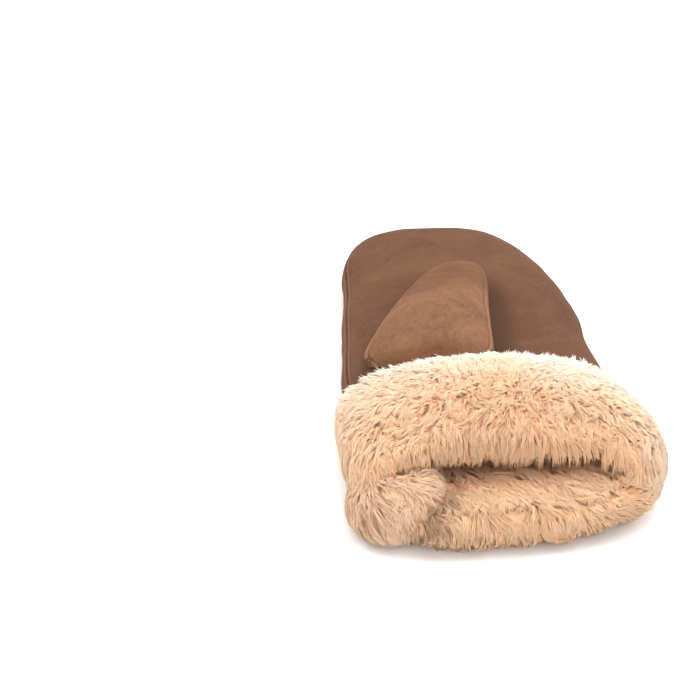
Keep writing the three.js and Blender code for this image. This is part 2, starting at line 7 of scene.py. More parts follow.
import logging
import math
from collections.abc import Callable
from dataclasses import dataclass
from enum import Enum
from functools import partial

import bpy
import numpy as np
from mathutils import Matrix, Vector

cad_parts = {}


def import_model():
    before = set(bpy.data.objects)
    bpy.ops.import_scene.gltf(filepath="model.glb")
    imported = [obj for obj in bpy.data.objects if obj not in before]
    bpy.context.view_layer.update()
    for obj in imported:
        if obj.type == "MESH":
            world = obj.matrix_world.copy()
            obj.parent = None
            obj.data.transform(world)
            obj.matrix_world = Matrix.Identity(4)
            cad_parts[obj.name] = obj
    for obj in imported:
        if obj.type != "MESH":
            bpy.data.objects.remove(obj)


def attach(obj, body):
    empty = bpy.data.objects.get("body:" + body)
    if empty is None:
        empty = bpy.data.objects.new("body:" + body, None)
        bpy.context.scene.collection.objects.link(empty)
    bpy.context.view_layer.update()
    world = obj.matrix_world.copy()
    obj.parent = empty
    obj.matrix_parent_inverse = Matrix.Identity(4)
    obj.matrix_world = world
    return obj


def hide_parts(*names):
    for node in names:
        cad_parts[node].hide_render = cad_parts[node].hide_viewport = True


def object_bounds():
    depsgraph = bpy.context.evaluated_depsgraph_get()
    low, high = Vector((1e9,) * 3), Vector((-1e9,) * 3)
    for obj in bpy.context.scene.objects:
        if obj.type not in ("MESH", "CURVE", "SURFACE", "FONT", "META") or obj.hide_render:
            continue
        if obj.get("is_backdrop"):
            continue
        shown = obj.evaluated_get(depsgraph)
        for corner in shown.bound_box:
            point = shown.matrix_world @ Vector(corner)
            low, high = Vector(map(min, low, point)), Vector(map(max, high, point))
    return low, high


LOG = logging.getLogger("leather_mitten")
Array = np.ndarray
Colour = tuple[float, float, float]
Socket = bpy.types.NodeSocket
Value = bpy.types.NodeSocket | float | tuple
BODY = "root"
METRES = 0.001
TURN = 2 * math.pi
START_ANGLE = -math.pi / 2
# From the design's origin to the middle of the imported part
CENTRE = np.array([3.376, 36.66, 0.0])
# The step that a surface's way out is read over, and how far before its closed end it is last read
NORMAL_STEP = 0.01
TIP_SETBACK = 0.25
# The halvings of a search along the palm, and the share of its width that is still read
SEARCH_STEPS = 24
WIDEST_SHARE = 0.98
# Extra rows just before the fingertip, and how an edge that is rolled is stepped
TIP_ROWS = (0.9, 0.96, 0.99)
EDGE_STEPS = 7
EDGE_REACH = 3.0
# How far hides, hairs' middles and hairs' sides stay above the surface
HIDE_FLOOR = 0.05
PATH_FLOOR = 0.35
THREAD_FLOOR = 0.02
# Places along the cuff's skin: its rear end, where the mouth's inside starts, and its inner end
REAR_END = -4.0
INNER_START = 10
INNER_END = 14
SLEEVE_ROWS = 0.75
# How near the fold's middle other locks may start, as a share of its size
KEPT_OUT = 0.93
# Even scatter over a patch: how finely it is measured, its strides, and how seeds shift them
SAMPLES = 160
STRIDES = (0.7548776662, 0.5698402910)
SEED_SHIFTS = (0.137, 0.233)
# The step over which a skin's scale is read, and the least that a unit of it measures
SKIN_STEP = 0.02
LEAST_SCALE = 0.5
# A thread's sides, and how far the sines of its rise and of its curl turn from root to tip
SIDES = 3
RISE_TURN = 1.9
CURL_TURN = 4.2
# How a screen's colours turn linear
SCREEN_TOE = 0.04045


class Panel(Enum):
    """The two leather panels of the hand."""

    PALM = "palm_panel"
    BACK = "back_panel"


class Half(Enum):
    """The two halves of the thumb."""

    OUTER = "thumb_outer"
    INNER = "thumb_inner"


@dataclass(frozen=True)
class Sections:
    """Sections along a form, a row for each place, read on a smooth curve."""

    columns: tuple[str, ...]
    rows: tuple[tuple[float, ...], ...]

    @property
    def last(self) -> int:
        """The last row's number."""
        return len(self.rows) - 1

    def at(self, column: str, row: Array) -> Array:
        """Reads a column at rows that may lie between two.

        Args:
            column: the column's name.
            row: the rows, as numbers from 0 to the last.

        Returns:
            The column's values there.
        """
        values = np.array([line[self.columns.index(column)] for line in self.rows])
        place = np.clip(row, 0, self.last)
        first = np.minimum(np.floor(place).astype(int), self.last - 1)
        part = place - first
        before, start, end, after = (values[np.clip(first + step, 0, self.last)] for step in (-1, 0, 1, 2))
        bend = 2 * before - 5 * start + 4 * end - after
        twist = 3 * (start - end) + after - before
        return start + 0.5 * part * (end - before + part * (bend + part * twist))


HAND_SECTIONS = Sections(
    ("along", "left", "right", "top", "under", "press", "slant"),
    (
        (-0.342, 0.90, 0.95, 0.98, 0.24, 0, 1),
        (-0.235, 0.93, 0.98, 1.00, 0.22, 0, 0.7),
        (-0.122, 0.97, 1.01, 1.01, 0.17, 0, 0.35),
        (0, 1.01, 1.03, 1.00, 0.07, 0, 0),
        (0.122, 1.00, 1.01, 0.97, 0, 0.6, 0),
        (0.256, 0.967, 0.975, 0.93, 0, 1, 0),
        (0.396, 0.934, 1.00, 0.88, 0, 1, 0),
        (0.537, 0.893, 0.96, 0.82, 0, 1, 0),
        (0.659, 0.865, 0.90, 0.76, 0, 1, 0),
        (0.774, 0.84, 0.82, 0.70, 0, 1, 0),
        (0.866, 0.785, 0.715, 0.63, 0, 0.5, 0),
        (0.927, 0.705, 0.60, 0.565, 0.03, 0, 0),
        (0.966, 0.59, 0.465, 0.49, 0.09, 0, 0),
        (0.991, 0.44, 0.32, 0.40, 0.18, 0, 0),
        (1, 0.32, 0.20, 0.30, 0.30, 0, 0),
    ),
)
THUMB_SECTIONS = Sections(
    ("left_x", "left_y", "right_x", "right_y", "seam", "crown", "belly", "lag", "lead"),
    (
        (-0.81, 0.10, 0.117, 0.0, 0.2, -0.2, 0.2, 0.04, 0.14),
        (-0.853, 0.20, 0.133, 0.13, 0.28, 0.44, 0.26, 0.08, 0.07),
        (-0.735, 0.35, 0.15, 0.26, 0.36, 0.58, 0.32, 0.045, 0.03),
        (-0.608, 0.49, 0.177, 0.413, 0.38, 0.58, 0.35, 0.01, 0.01),
        (-0.467, 0.641, 0.208, 0.565, 0.37, 0.55, 0.34, 0, 0),
        (-0.325, 0.788, 0.242, 0.707, 0.35, 0.50, 0.32, 0, 0),
        (-0.208, 0.891, 0.253, 0.815, 0.33, 0.44, 0.30, 0, 0),
        (-0.108, 0.951, 0.25, 0.886, 0.32, 0.36, 0.27, 0, 0),
        (-0.008, 0.984, 0.233, 0.94, 0.31, 0.25, 0.20, 0, 0),
        (0.083, 1, 0.2, 0.978, 0.30, 0, 0, 0, 0),
    ),
)
CUFF_RINGS = Sections(
    ("ahead", "right", "top", "left", "under"),
    (
        (-1, 0.10, 0.20, 0.14, 0.05),
        (-0.93, 0.22, 0.44, 0.30, 0.06),
        (-0.76, 0.46, 0.62, 0.46, 0.12),
        (-0.48, 0.78, 0.72, 0.58, 0.25),
        (-0.14, 1.00, 0.74, 0.64, 0.50),
        (0.14, 0.90, 0.58, 0.56, 0.55),
        (0.29, 0.58, 0.20, 0.34, 0.36),
        (0.35, 0.14, -0.30, 0.02, 0.06),
        (0.29, -0.22, -0.70, -0.26, -0.34),
        (0.12, -0.42, -0.82, -0.42, -0.54),
    ),
)
# Hollows and swells of the palm: x and y as shares of the half width and the length, reach and rise
PALM_SWELLS = (
    (0.40, 0.28, 11, 42, -3.2),
    (0.66, 0.16, 13, 20, 2.0),
    (0.10, 0.70, 26, 14, -1.4),
    (-0.72, 0.42, 10, 26, -1.6),
    (0.62, 0.52, 16, 12, 1.1),
)


def signed_power(value: Array, power: float) -> Array:
    """A power that keeps its sign, for squarish ellipses."""
    return np.sign(value) * np.abs(value) ** power


def unit(vectors: Array) -> Array:
    """The same vectors, one long."""
    return vectors / np.maximum(np.linalg.norm(vectors, axis=-1, keepdims=True), 1e-9)


def blend(low: Array, high: Array, share: Array) -> Array:
    """A value between two, at a share of the way."""
    return low + (high - low) * share


def fade(low: float, high: float, value: Array) -> Array:
    """A smooth step from 0 at low to 1 at high."""
    share = np.clip((value - low) / (high - low), 0, 1)
    return share * share * (3 - 2 * share)


def once_round(columns: int) -> Array:
    """A row of angles once round, where the last meets the first."""
    return np.linspace(START_ANGLE, START_ANGLE + TURN, columns)[None, :]


def ripple(points: Array, wavelength: float, seed: int, waves: int = 14) -> Array:
    """Soft random waves in space, for uneven leather and tufted pile.

    Args:
        points: places, in millimetres.
        wavelength: the usual distance between crests.
        seed: picks the pattern.
        waves: how many plane waves are added.

    Returns:
        Heights of about -1 to 1.
    """
    chance = np.random.default_rng(seed)
    turns = unit(chance.normal(size=(waves, 3))) * chance.uniform(0.6, 1.5, (waves, 1))
    phases = chance.uniform(0, TURN, waves)
    height = sum(np.sin(points @ turn * (TURN / wavelength) + phase) for turn, phase in zip(turns, phases))
    return height / math.sqrt(waves)


def outward_of(surface: Callable[[Array, Array], Array], row: Array, angle: Array, last: float) -> Array:
    """The way out of a surface that is read by rows and angles.

    Args:
        surface: gives the point at a row and an angle.
        row: the rows.
        angle: the angles.
        last: the surface's last row, where it closes.

    Returns:
        The ways out, each one long.
    """
    near = np.minimum(row, last - TIP_SETBACK)
    along = surface(near + NORMAL_STEP, angle) - surface(np.maximum(near - NORMAL_STEP, 0), angle)
    around = surface(near, angle + NORMAL_STEP) - surface(near, angle - NORMAL_STEP)
    return unit(np.cross(along, around))


@dataclass
class HandForm:
    """The hollow form of the hand, which the leather and the cuff both follow."""

    length: float = 164.0
    width: float = 122.0
    thickness: float = 40.0
    press: float = 2.0
    slant: float = 15.0
    widest: float = 0.42
    palm_roundness: float = 2.35
    back_roundness: float = 2.7
    seam_angle: float = math.radians(17)
    seam_fade: float = 4.0
    wrist_row: float = 3.0
    leather: float = 1.8
    gap: float = 0.3

    def swell(self, x: Array, y: Array) -> Array:
        """How much the palm rises or sinks at places.

        Args:
            x: how far right of the middle they are.
            y: how far ahead of the wrist they are.

        Returns:
            The rise, in millimetres.
        """
        rise = np.zeros(np.broadcast(x, y).shape)
        for middle_x, middle_y, reach_x, reach_y, height in PALM_SWELLS:
            across = (x - middle_x * self.width / 2) / reach_x
            along = (y - middle_y * self.length) / reach_y
            rise = rise + height * np.exp(-(across**2) - along**2)
        return rise

    def point(self, row: Array, angle: Array) -> Array:
        """A point of the outside.

        Args:
            row: 0 at the mouth, 14 at the fingertip.
            angle: 0 on the right side, a quarter turn on the palm.

        Returns:
            Points, with x, y and z last.
        """
        row, angle = np.broadcast_arrays(row, angle)
        read = partial(HAND_SECTIONS.at, row=row)
        top = read("top") * self.thickness
        under = read("under") * self.thickness - read("press") * self.press
        level = under + self.widest * (top - under)
        across, up = np.cos(angle), np.sin(angle)
        roundness = np.where(up >= 0, self.palm_roundness, self.back_roundness)
        side = np.where(across >= 0, read("right"), read("left"))
        height = np.where(up >= 0, top - level, level - under)
        x = side * self.width / 2 * signed_power(across, 2 / roundness)
        y = read("along") * self.length + read("slant") * self.slant * up
        lift = signed_power(up, 2 / roundness)
        z = level + height * lift + np.where(up > 0, self.swell(x, y) * lift * lift, 0)
        return np.stack([x, y, np.maximum(z, 0)], axis=-1)

    def outward(self, row: Array, angle: Array) -> Array:
        """The way out of the form at rows and angles."""
        return outward_of(self.point, row, angle, HAND_SECTIONS.last)

    def moved(self, row: Array, angle: Array, distance: float, forward: float = 0.0) -> Array:
        """Points moved off the form.

        Args:
            row: the rows.
            angle: the angles.
            distance: how far out they move, or in where it is negative.
            forward: how far they move towards the mouth's side.

        Returns:
            The points, none under the surface that the mitten lies on.
        """
        points = self.point(row, angle) + self.outward(row, angle) * distance
        points[..., 1] -= forward
        points[..., 2] = np.maximum(points[..., 2], 0)
        return points

    def inside(self, row: Array, angle: Array, pile: Array) -> Array:
        """Points inside the leather, on an outline like the form's.

        Args:
            row: the rows.
            angle: the angles.
            pile: how thick the pile between them and the leather is.

        Returns:
            The points.
        """
        row, angle, pile = np.broadcast_arrays(row, angle, pile)
        depth = self.leather + self.gap + pile
        right, top, left, under = (self.point(row, quarter * math.pi / 2) for quarter in range(4))
        middle = (top[..., 2] + under[..., 2]) / 2
        points = self.point(row, angle).copy()
        points[..., 0] *= 1 - 2 * depth / (right[..., 0] - left[..., 0])
        shrink = 1 - 2 * depth / (top[..., 2] - under[..., 2])
        points[..., 2] = middle + (points[..., 2] - middle) * shrink
        return points

    def palm_height(self, x: Array, y: Array) -> Array:
        """The height of the palm's outside at places, for what lies on it.

        Args:
            x: how far right of the middle they are.
            y: how far ahead of the wrist they are.

        Returns:
            The heights.
        """
        low = np.full(np.shape(x), self.wrist_row - 1)
        high = np.full(np.shape(x), float(HAND_SECTIONS.last))
        for _ in range(SEARCH_STEPS):
            middle = (low + high) / 2
            short = HAND_SECTIONS.at("along", middle) * self.length < y
            low, high = np.where(short, middle, low), np.where(short, high, middle)
        read = partial(HAND_SECTIONS.at, row=low)
        side = np.where(x >= 0, read("right"), read("left")) * self.width / 2
        across = np.clip(x / side, -WIDEST_SHARE, WIDEST_SHARE)
        return self.point(low, np.arccos(signed_power(across, self.palm_roundness / 2)))[..., 2]


def faces_of_grid(rows: int, columns: int, rows_closed: bool = False) -> Array:
    """The four-cornered faces of a grid of points whose last column joins the first.

    Args:
        rows: how many rows of points there are.
        columns: how many points a row has.
        rows_closed: whether the last row joins the first too.

    Returns:
        Point numbers, four for each face.
    """
    rings = np.arange(rows if rows_closed else rows - 1)
    row, column = np.meshgrid(rings, np.arange(columns), indexing="ij")
    ahead, beside = (row + 1) % rows, (column + 1) % columns
    pairs = ((row, column), (row, beside), (ahead, beside), (ahead, column))
    return np.stack([(here * columns + over).ravel() for here, over in pairs], axis=1)


def normals_of_grid(points: Array) -> Array:
    """The way out of a grid of points that goes once round.

    Args:
        points: rows by columns, where the last column repeats the first.

    Returns:
        The ways out, each one long, or all of them inward.
    """
    rings = points[:, :-1]
    along = np.gradient(rings, axis=0)
    around = (np.roll(rings, -1, axis=1) - np.roll(rings, 1, axis=1)) / 2
    out = unit(np.cross(along, around))
    return np.concatenate([out, out[:, :1]], axis=1)


def facing_out(normals: Array, points: Array, probe: int | slice) -> Array:
    """Turns normals round if they look at the middle of their form.

    Args:
        normals: the normals.
        points: the points that they belong to.
        probe: the row or rows that are compared with their middle.

    Returns:
        The normals, looking out.
    """
    ring = points[probe]
    away = ring - ring.reshape(-1, 3).mean(axis=0)
    return normals if np.sum(away * normals[probe]) > 0 else -normals


def make_piece(
    name: str, points: Array, faces: Array, notes: dict[str, Array], ways: Array | None = None
) -> bpy.types.Object:
    """Makes a mesh object that rides on the mitten.

    Args:
        name: the piece's name.
        points: its points in millimetres, before centring.
        faces: point numbers, three or four for each face.
        notes: values kept with the points for the material, by name.
        ways: the way that each point is shaded as facing, if it isn't its own.

    Returns:
        The object, linked and in place.
    """
    mesh = bpy.data.meshes.new(name)
    flat = ((points.reshape(-1, 3) - CENTRE) * METRES).astype(np.float32)
    count, corners = faces.shape
    mesh.vertices.add(len(flat))
    mesh.vertices.foreach_set("co", flat.ravel())
    mesh.loops.add(count * corners)
    mesh.loops.foreach_set("vertex_index", faces.astype(np.int32).ravel())
    mesh.polygons.add(count)
    mesh.polygons.foreach_set("loop_start", np.arange(0, count * corners, corners, dtype=np.int32))
    mesh.polygons.foreach_set("use_smooth", np.full(count, True))
    for note, values in notes.items():
        kept = mesh.attributes.new(note, "FLOAT", "POINT")
        kept.data.foreach_set("value", values.astype(np.float32).ravel())
    mesh.update(calc_edges=True)
    if ways is not None:
        mesh.normals_split_custom_set_from_vertices(ways.reshape(-1, 3))
    piece = bpy.data.objects.new(name, mesh)
    bpy.context.scene.collection.objects.link(piece)
    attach(piece, BODY)
    return piece


def hide_notes(pale: Array, tint: float = 0.4) -> dict[str, Array]:
    """What the pile's material reads on bare hide, which has the roots' colour unless it is pale."""
    return {"along": 0.1 + 0.6 * pale, "tint": np.full(pale.shape, tint), "pale": pale}


def turned_out(points: Array, faces: Array) -> Array:
    """Turns faces so that the closed form they make looks outward.

    Args:
        points: the form's points.
        faces: point numbers, three or four for each face.

    Returns:
        The same faces, or all of them turned round.
    """
    flat = points.reshape(-1, 3)
    first = flat[faces[:, 0]]
    volume = 0.0
    for slot in range(1, faces.shape[1] - 1):
        second, third = flat[faces[:, slot]], flat[faces[:, slot + 1]]
        volume += np.einsum("ij,ij->i", first, np.cross(second, third)).sum()
    return faces[:, ::-1] if volume < 0 else faces


def tucked(
    points: Array, out: Array, radius: float, root_too: bool = False
) -> tuple[Array, Array]:
    """Rolls a sheet's edges in, as a turned seam does.

    Args:
        points: the outside as a grid, rows by columns.
        out: the way out at each.
        radius: how round the rolled edge is.
        root_too: whether the first row is rolled like the other three edges.

    Returns:
        The rolled grid, and each point's distance from the nearest rolled edge.
    """
    steps_along = np.linalg.norm(np.diff(points, axis=0), axis=-1)
    steps_around = np.linalg.norm(np.diff(points, axis=1), axis=-1)
    along = np.concatenate([np.zeros((1, points.shape[1])), np.cumsum(steps_along, axis=0)], axis=0)
    around = np.concatenate([np.zeros((points.shape[0], 1)), np.cumsum(steps_around, axis=1)], axis=1)
    edges = [along[-1:] - along, around, around[:, -1:] - around]
    distance = np.min(np.stack([along, *edges] if root_too else edges), axis=0)
    reach = np.clip(radius - distance, 0, radius)
    depth = radius - np.sqrt(radius**2 - reach**2)
    return points - out * depth[..., None], distance


def shell(outer: Array, out: Array, wall: float) -> tuple[Array, Array]:
    """A closed wall behind a grid of points.

    Args:
        outer: the outside, rows by columns.
        out: the way out at each point.
        wall: how thick the wall is.

    Returns:
        All the points, and the faces.
    """
    rows, columns = outer.shape[:2]
    inner = outer - out * wall
    inner[..., 2] = np.maximum(inner[..., 2], HIDE_FLOOR)
    loops = np.concatenate([outer, inner[:, ::-1]], axis=1)
    around = 2 * columns
    column = np.arange(columns - 1)
    facing = around - 1 - column
    near = np.stack([facing, facing - 1, column + 1, column], axis=1)
    far = np.stack([column, column + 1, facing - 1, facing], axis=1) + (rows - 1) * around
    faces = np.concatenate([faces_of_grid(rows, around), near, far])
    return loops, turned_out(loops, faces)


def capped(rings: Array) -> tuple[Array, Array]:
    """Closes a tube of rings with a fan at each end.

    Args:
        rings: its points, rows by columns.

    Returns:
        All the points, and faces of three corners.
    """
    rows, columns = rings.shape[:2]
    count = rows * columns
    last = count - columns
    ends = np.stack([rings[0].mean(axis=0), rings[-1].mean(axis=0)])
    points = np.concatenate([rings.reshape(-1, 3), ends])
    ring = np.arange(columns)
    beside = (ring + 1) % columns
    low = np.stack([ring, np.full(columns, count), beside], axis=1)
    high = np.stack([last + beside, np.full(columns, count + 1), last + ring], axis=1)
    sides = faces_of_grid(rows, columns)
    faces = np.concatenate([sides[:, [0, 1, 2]], sides[:, [0, 2, 3]], low, high])
    return points, turned_out(points, faces)


def close_shares(columns: int, arc: float, inset: float = 0.0) -> Array:
    """Shares from 0 to 1 that are close together near both ends, for rolled edges.

    Args:
        columns: how many even steps the middle has.
        arc: the usual length of the whole run.
        inset: the share that is left out at each end.

    Returns:
        The shares, rising.
    """
    close = EDGE_REACH / arc
    edge = np.linspace(0, close, EDGE_STEPS)
    middle = np.linspace(close, 1 - close, columns)[1:-1]
    return inset + (1 - 2 * inset) * np.concatenate([edge, middle, 1 - edge[::-1]])


class Nodes:
    """A material's nodes, added one by one."""

    def __init__(self, name: str) -> None:
        """Starts an empty material.

        Args:
            name: the material's name.
        """
        self.material = bpy.data.materials.new(name)
        self.material.use_nodes = True
        self.tree = self.material.node_tree
        self.tree.nodes.clear()

    def add(self, kind: str, inputs: dict[str | int, Value] | None = None, **settings: str) -> bpy.types.Node:
        """Adds a node.

        Args:
            kind: its type.
            inputs: a link, a number or a colour for each input that is fed.
            **settings: its own settings.

        Returns:
            The node.
        """
        node = self.tree.nodes.new(kind)
        for name, setting in settings.items():
            setattr(node, name, setting)
        for key, value in (inputs or {}).items():
            if isinstance(value, Socket):
                self.tree.links.new(value, node.inputs[key])
            else:
                node.inputs[key].default_value = (*value, 1) if isinstance(value, tuple) else value
        return node

    def place(self) -> Socket:
        """Coordinates that stay with the piece."""
        return self.add("ShaderNodeTexCoord").outputs["Object"]

    def note(self, name: str) -> Socket:
        """A value kept with the piece's points."""
        return self.add("ShaderNodeAttribute", attribute_name=name).outputs["Fac"]

    def noise(self, place: Socket, scale: float, detail: float, rough: float, warp: float) -> Socket:
        """Noise from 0 to 1: its place, how fine, how many finer layers, their strength, its warp."""
        inputs = {"Vector": place, "Scale": scale, "Detail": detail, "Roughness": rough, "Distortion": warp}
        return self.add("ShaderNodeTexNoise", inputs).outputs["Fac"]

    def times(self, first: Value, second: Value) -> Socket:
        """Two values multiplied."""
        return self.add("ShaderNodeMath", {0: first, 1: second}, operation="MULTIPLY").outputs[0]

    def plus(self, first: Value, second: Value) -> Socket:
        """Two values added."""
        return self.add("ShaderNodeMath", {0: first, 1: second}, operation="ADD").outputs[0]

    def band(self, value: Socket, low: float, high: float) -> Socket:
        """A band along a value.

        Args:
            value: the value.
            low: where the band starts.
            high: where it ends.

        Returns:
            1 midway between the two, falling smoothly to 0 at both.
        """
        away = self.plus(value, -(low + high) / 2)
        far = self.add("ShaderNodeMath", {0: away, 1: 0.0}, operation="ABSOLUTE").outputs[0]
        inputs = {"Value": far, "From Min": 0.0, "From Max": (high - low) / 2, "To Min": 1.0, "To Max": 0.0}
        return self.add("ShaderNodeMapRange", inputs, interpolation_type="SMOOTHSTEP").outputs["Result"]

    def mix_value(self, first: Value, second: Value, share: Value) -> Socket:
        """A value between two."""
        return self.add("ShaderNodeMix", {0: share, 2: first, 3: second}).outputs[0]

    def mix_colour(self, first: Value, second: Value, share: Value) -> Socket:
        """A colour between two."""
        return self.add("ShaderNodeMix", {0: share, 6: first, 7: second}, data_type="RGBA").outputs[2]

    def ramp(self, value: Socket, stops: tuple[tuple[float, Colour], ...]) -> Socket:
        """Colours along a value.

        Args:
            value: the value read.
            stops: places from 0 to 1, each with its colour.

        Returns:
            The colour.
        """
        node = self.add("ShaderNodeValToRGB", {"Fac": value})
        bar = node.color_ramp.elements
        while len(bar) < len(stops):
            bar.new(0.5)
        for element, (place, colour) in zip(bar, stops):
            element.position = place
            element.color = (*colour, 1)
        return node.outputs["Color"]

    def finish(self, inputs: dict[str | int, Value]) -> bpy.types.Material:
        """Ends the material in its one shader.

        Args:
            inputs: what the shader is fed.

        Returns:
            The material.
        """
        shade = self.add("ShaderNodeBsdfPrincipled", inputs)
        self.add("ShaderNodeOutputMaterial", {"Surface": shade.outputs[0]})
        return self.material


@dataclass(frozen=True)
class SuedeFinish:
    """Napped brown suede, brushed into lighter and darker patches."""

    name: str
    dark: Colour
    base: Colour
    light: Colour
    ridge_pale: Colour
    patch_scale: float = 26.0
    cloud_share: float = 0.35
    nap_scale: float = 420.0
    grain_scale: float = 1500.0
    stops: tuple[float, ...] = (0.34, 0.5, 0.66)
    ridge: tuple[float, float] = (0.6, 2.2)
    ridge_share: float = 0.45
    stitch: tuple[float, float] = (2.3, 3.3)
    stitch_share: float = 0.5
    groove: tuple[float, float] = (-0.6, 0.6)
    groove_share: float = 0.8
    relief: tuple[float, float] = (0.4, 0.0005)

    def material(self) -> bpy.types.Material:
        """Builds the suede's nodes.

        Returns:
            The material.
        """
        made = Nodes(self.name)
        place = made.place()
        patches = made.noise(place, self.patch_scale, 4.0, 0.62, 1.4)
        clouds = made.noise(place, self.patch_scale * self.cloud_share, 3.0, 0.55, 0.4)
        nap = made.noise(place, self.nap_scale, 3.0, 0.7, 0.6)
        grain = made.noise(place, self.grain_scale, 2.0, 0.5, 0.0)
        mottle = made.mix_value(made.mix_value(patches, clouds, 0.4), nap, 0.25)
        mottle = made.mix_value(mottle, grain, 0.2)
        colour = made.ramp(mottle, tuple(zip(self.stops, (self.dark, self.base, self.light))))
        edge = made.note("edge")
        # The seam's rolled ridge is coloured lighter, the stitch line and the groove at the very edge darker
        bands = (
            (self.ridge, self.ridge_pale, self.ridge_share),
            (self.stitch, self.dark, self.stitch_share),
            (self.groove, self.dark, self.groove_share),
        )
        for (low, high), shade, share in bands:
            colour = made.mix_colour(colour, shade, made.times(made.band(edge, low, high), share))
        # Painted shade: the dark colour is mixed in as far as the note kept with the points says
        colour = made.mix_colour(colour, self.dark, made.note("painted_shade"))
        height = made.plus(made.times(nap, 0.5), made.times(grain, 0.5))
        strength, distance = self.relief
        bump = made.add("ShaderNodeBump", {"Strength": strength, "Distance": distance, "Height": height})
        return made.finish(
            {
                "Base Color": colour,
                "Normal": bump.outputs["Normal"],
                "Roughness": 0.92,
                "Specular IOR Level": 0.12,
                "Sheen Weight": 0.28,
                "Sheen Roughness": 0.45,
                "Sheen Tint": self.light,
            }
        )


@dataclass(frozen=True)
class FurFinish:
    """Soft pile that is deeper in colour at its roots and paler at its tips."""

    name: str
    root: Colour
    body: Colour
    tip: Colour
    cream: Colour
    stops: tuple[float, ...] = (0.02, 0.42, 0.95)
    cloud_scale: float = 60.0
    cloud_share: float = 0.22
    tint_share: float = 0.26
    darkest: float = 0.76

    def material(self) -> bpy.types.Material:
        """Builds the pile's nodes.

        Returns:
            The material.
        """
        made = Nodes(self.name)
        along = made.note("along")
        colour = made.ramp(along, tuple(zip(self.stops, (self.root, self.body, self.tip))))
        colour = made.mix_colour(colour, self.cream, made.times(along, made.note("pale")))
        clouds = made.noise(made.place(), self.cloud_scale, 3.0, 0.5, 0.5)
        tinted = made.times(made.note("tint"), self.tint_share)
        level = made.plus(made.plus(tinted, made.times(clouds, self.cloud_share)), self.darkest)
        lit = made.add("ShaderNodeHueSaturation", {"Color": colour, "Value": level})
        return made.finish(
            {
                "Base Color": lit.outputs["Color"],
                "Roughness": 0.7,
                "Specular IOR Level": 0.15,
                "Sheen Weight": 0.15,
                "Sheen Roughness": 0.4,
                "Sheen Tint": self.tip,
            }
        )


@dataclass(frozen=True)
class PlainFinish:
    """The pale sweep under the mitten."""

    name: str
    colour: Colour

    def material(self) -> bpy.types.Material:
        """Builds the sweep's nodes."""
        inputs = {"Base Color": self.colour, "Roughness": 0.9, "Specular IOR Level": 0.1}
        return Nodes(self.name).finish(inputs)


def from_screen(red: float, green: float, blue: float) -> Colour:
    """Turns a screen's colour into the linear one that materials take.

    Args:
        red: 0 to 255.
        green: 0 to 255.
        blue: 0 to 255.

    Returns:
        The linear colour, from 0 to 1.
    """
    shares = np.array([red, green, blue]) / 255
    linear = np.where(shares <= SCREEN_TOE, shares / 12.92, ((shares + 0.055) / 1.055) ** 2.4)
    return tuple(float(value) for value in linear)


HAND_SUEDE = SuedeFinish(
    "hand_suede",
    dark=from_screen(77, 53, 39),
    base=from_screen(99, 68, 51),
    light=from_screen(113, 80, 59),
    ridge_pale=from_screen(130, 94, 71),
)
THUMB_SUEDE = SuedeFinish(
    "thumb_suede",
    dark=from_screen(90, 61, 44),
    base=from_screen(127, 90, 66),
    light=from_screen(146, 105, 79),
    ridge_pale=from_screen(166, 124, 95),
    ridge=(2.4, 4.6),
    stitch=(4.4, 5.8),
)
CUFF_PILE = FurFinish(
    "cuff_pile",
    root=from_screen(244, 188, 146),
    body=from_screen(244, 194, 152),
    tip=from_screen(250, 210, 171),
    cream=from_screen(255, 248, 236),
)
LINING_PILE = FurFinish(
    "lining_pile",
    root=from_screen(180, 120, 80),
    body=from_screen(228, 172, 130),
    tip=from_screen(246, 202, 166),
    cream=from_screen(255, 236, 216),
)
SWEEP = PlainFinish("pale_sweep", from_screen(250, 250, 250))


def suede_piece(
    node: str, grid: tuple[Array, Array], radius: float, wall: float, painted_shade: Callable[[Array], Array]
) -> bpy.types.Object:
    """Makes a suede piece with its seam edges turned in.

    Args:
        node: the node of the model that it replaces.
        grid: its outside, and the ways out.
        radius: how round its edges are.
        wall: how thick it is.
        painted_shade: how much painted shade darkens it at points.

    Returns:
        The piece, without its material.
    """
    outer, distance = tucked(*grid, radius)
    points, faces = shell(outer, grid[1], wall)
    edge = np.concatenate([distance, distance[:, ::-1]], axis=1)
    return make_piece(node + "_suede", points, faces, {"edge": edge, "painted_shade": painted_shade(points)})


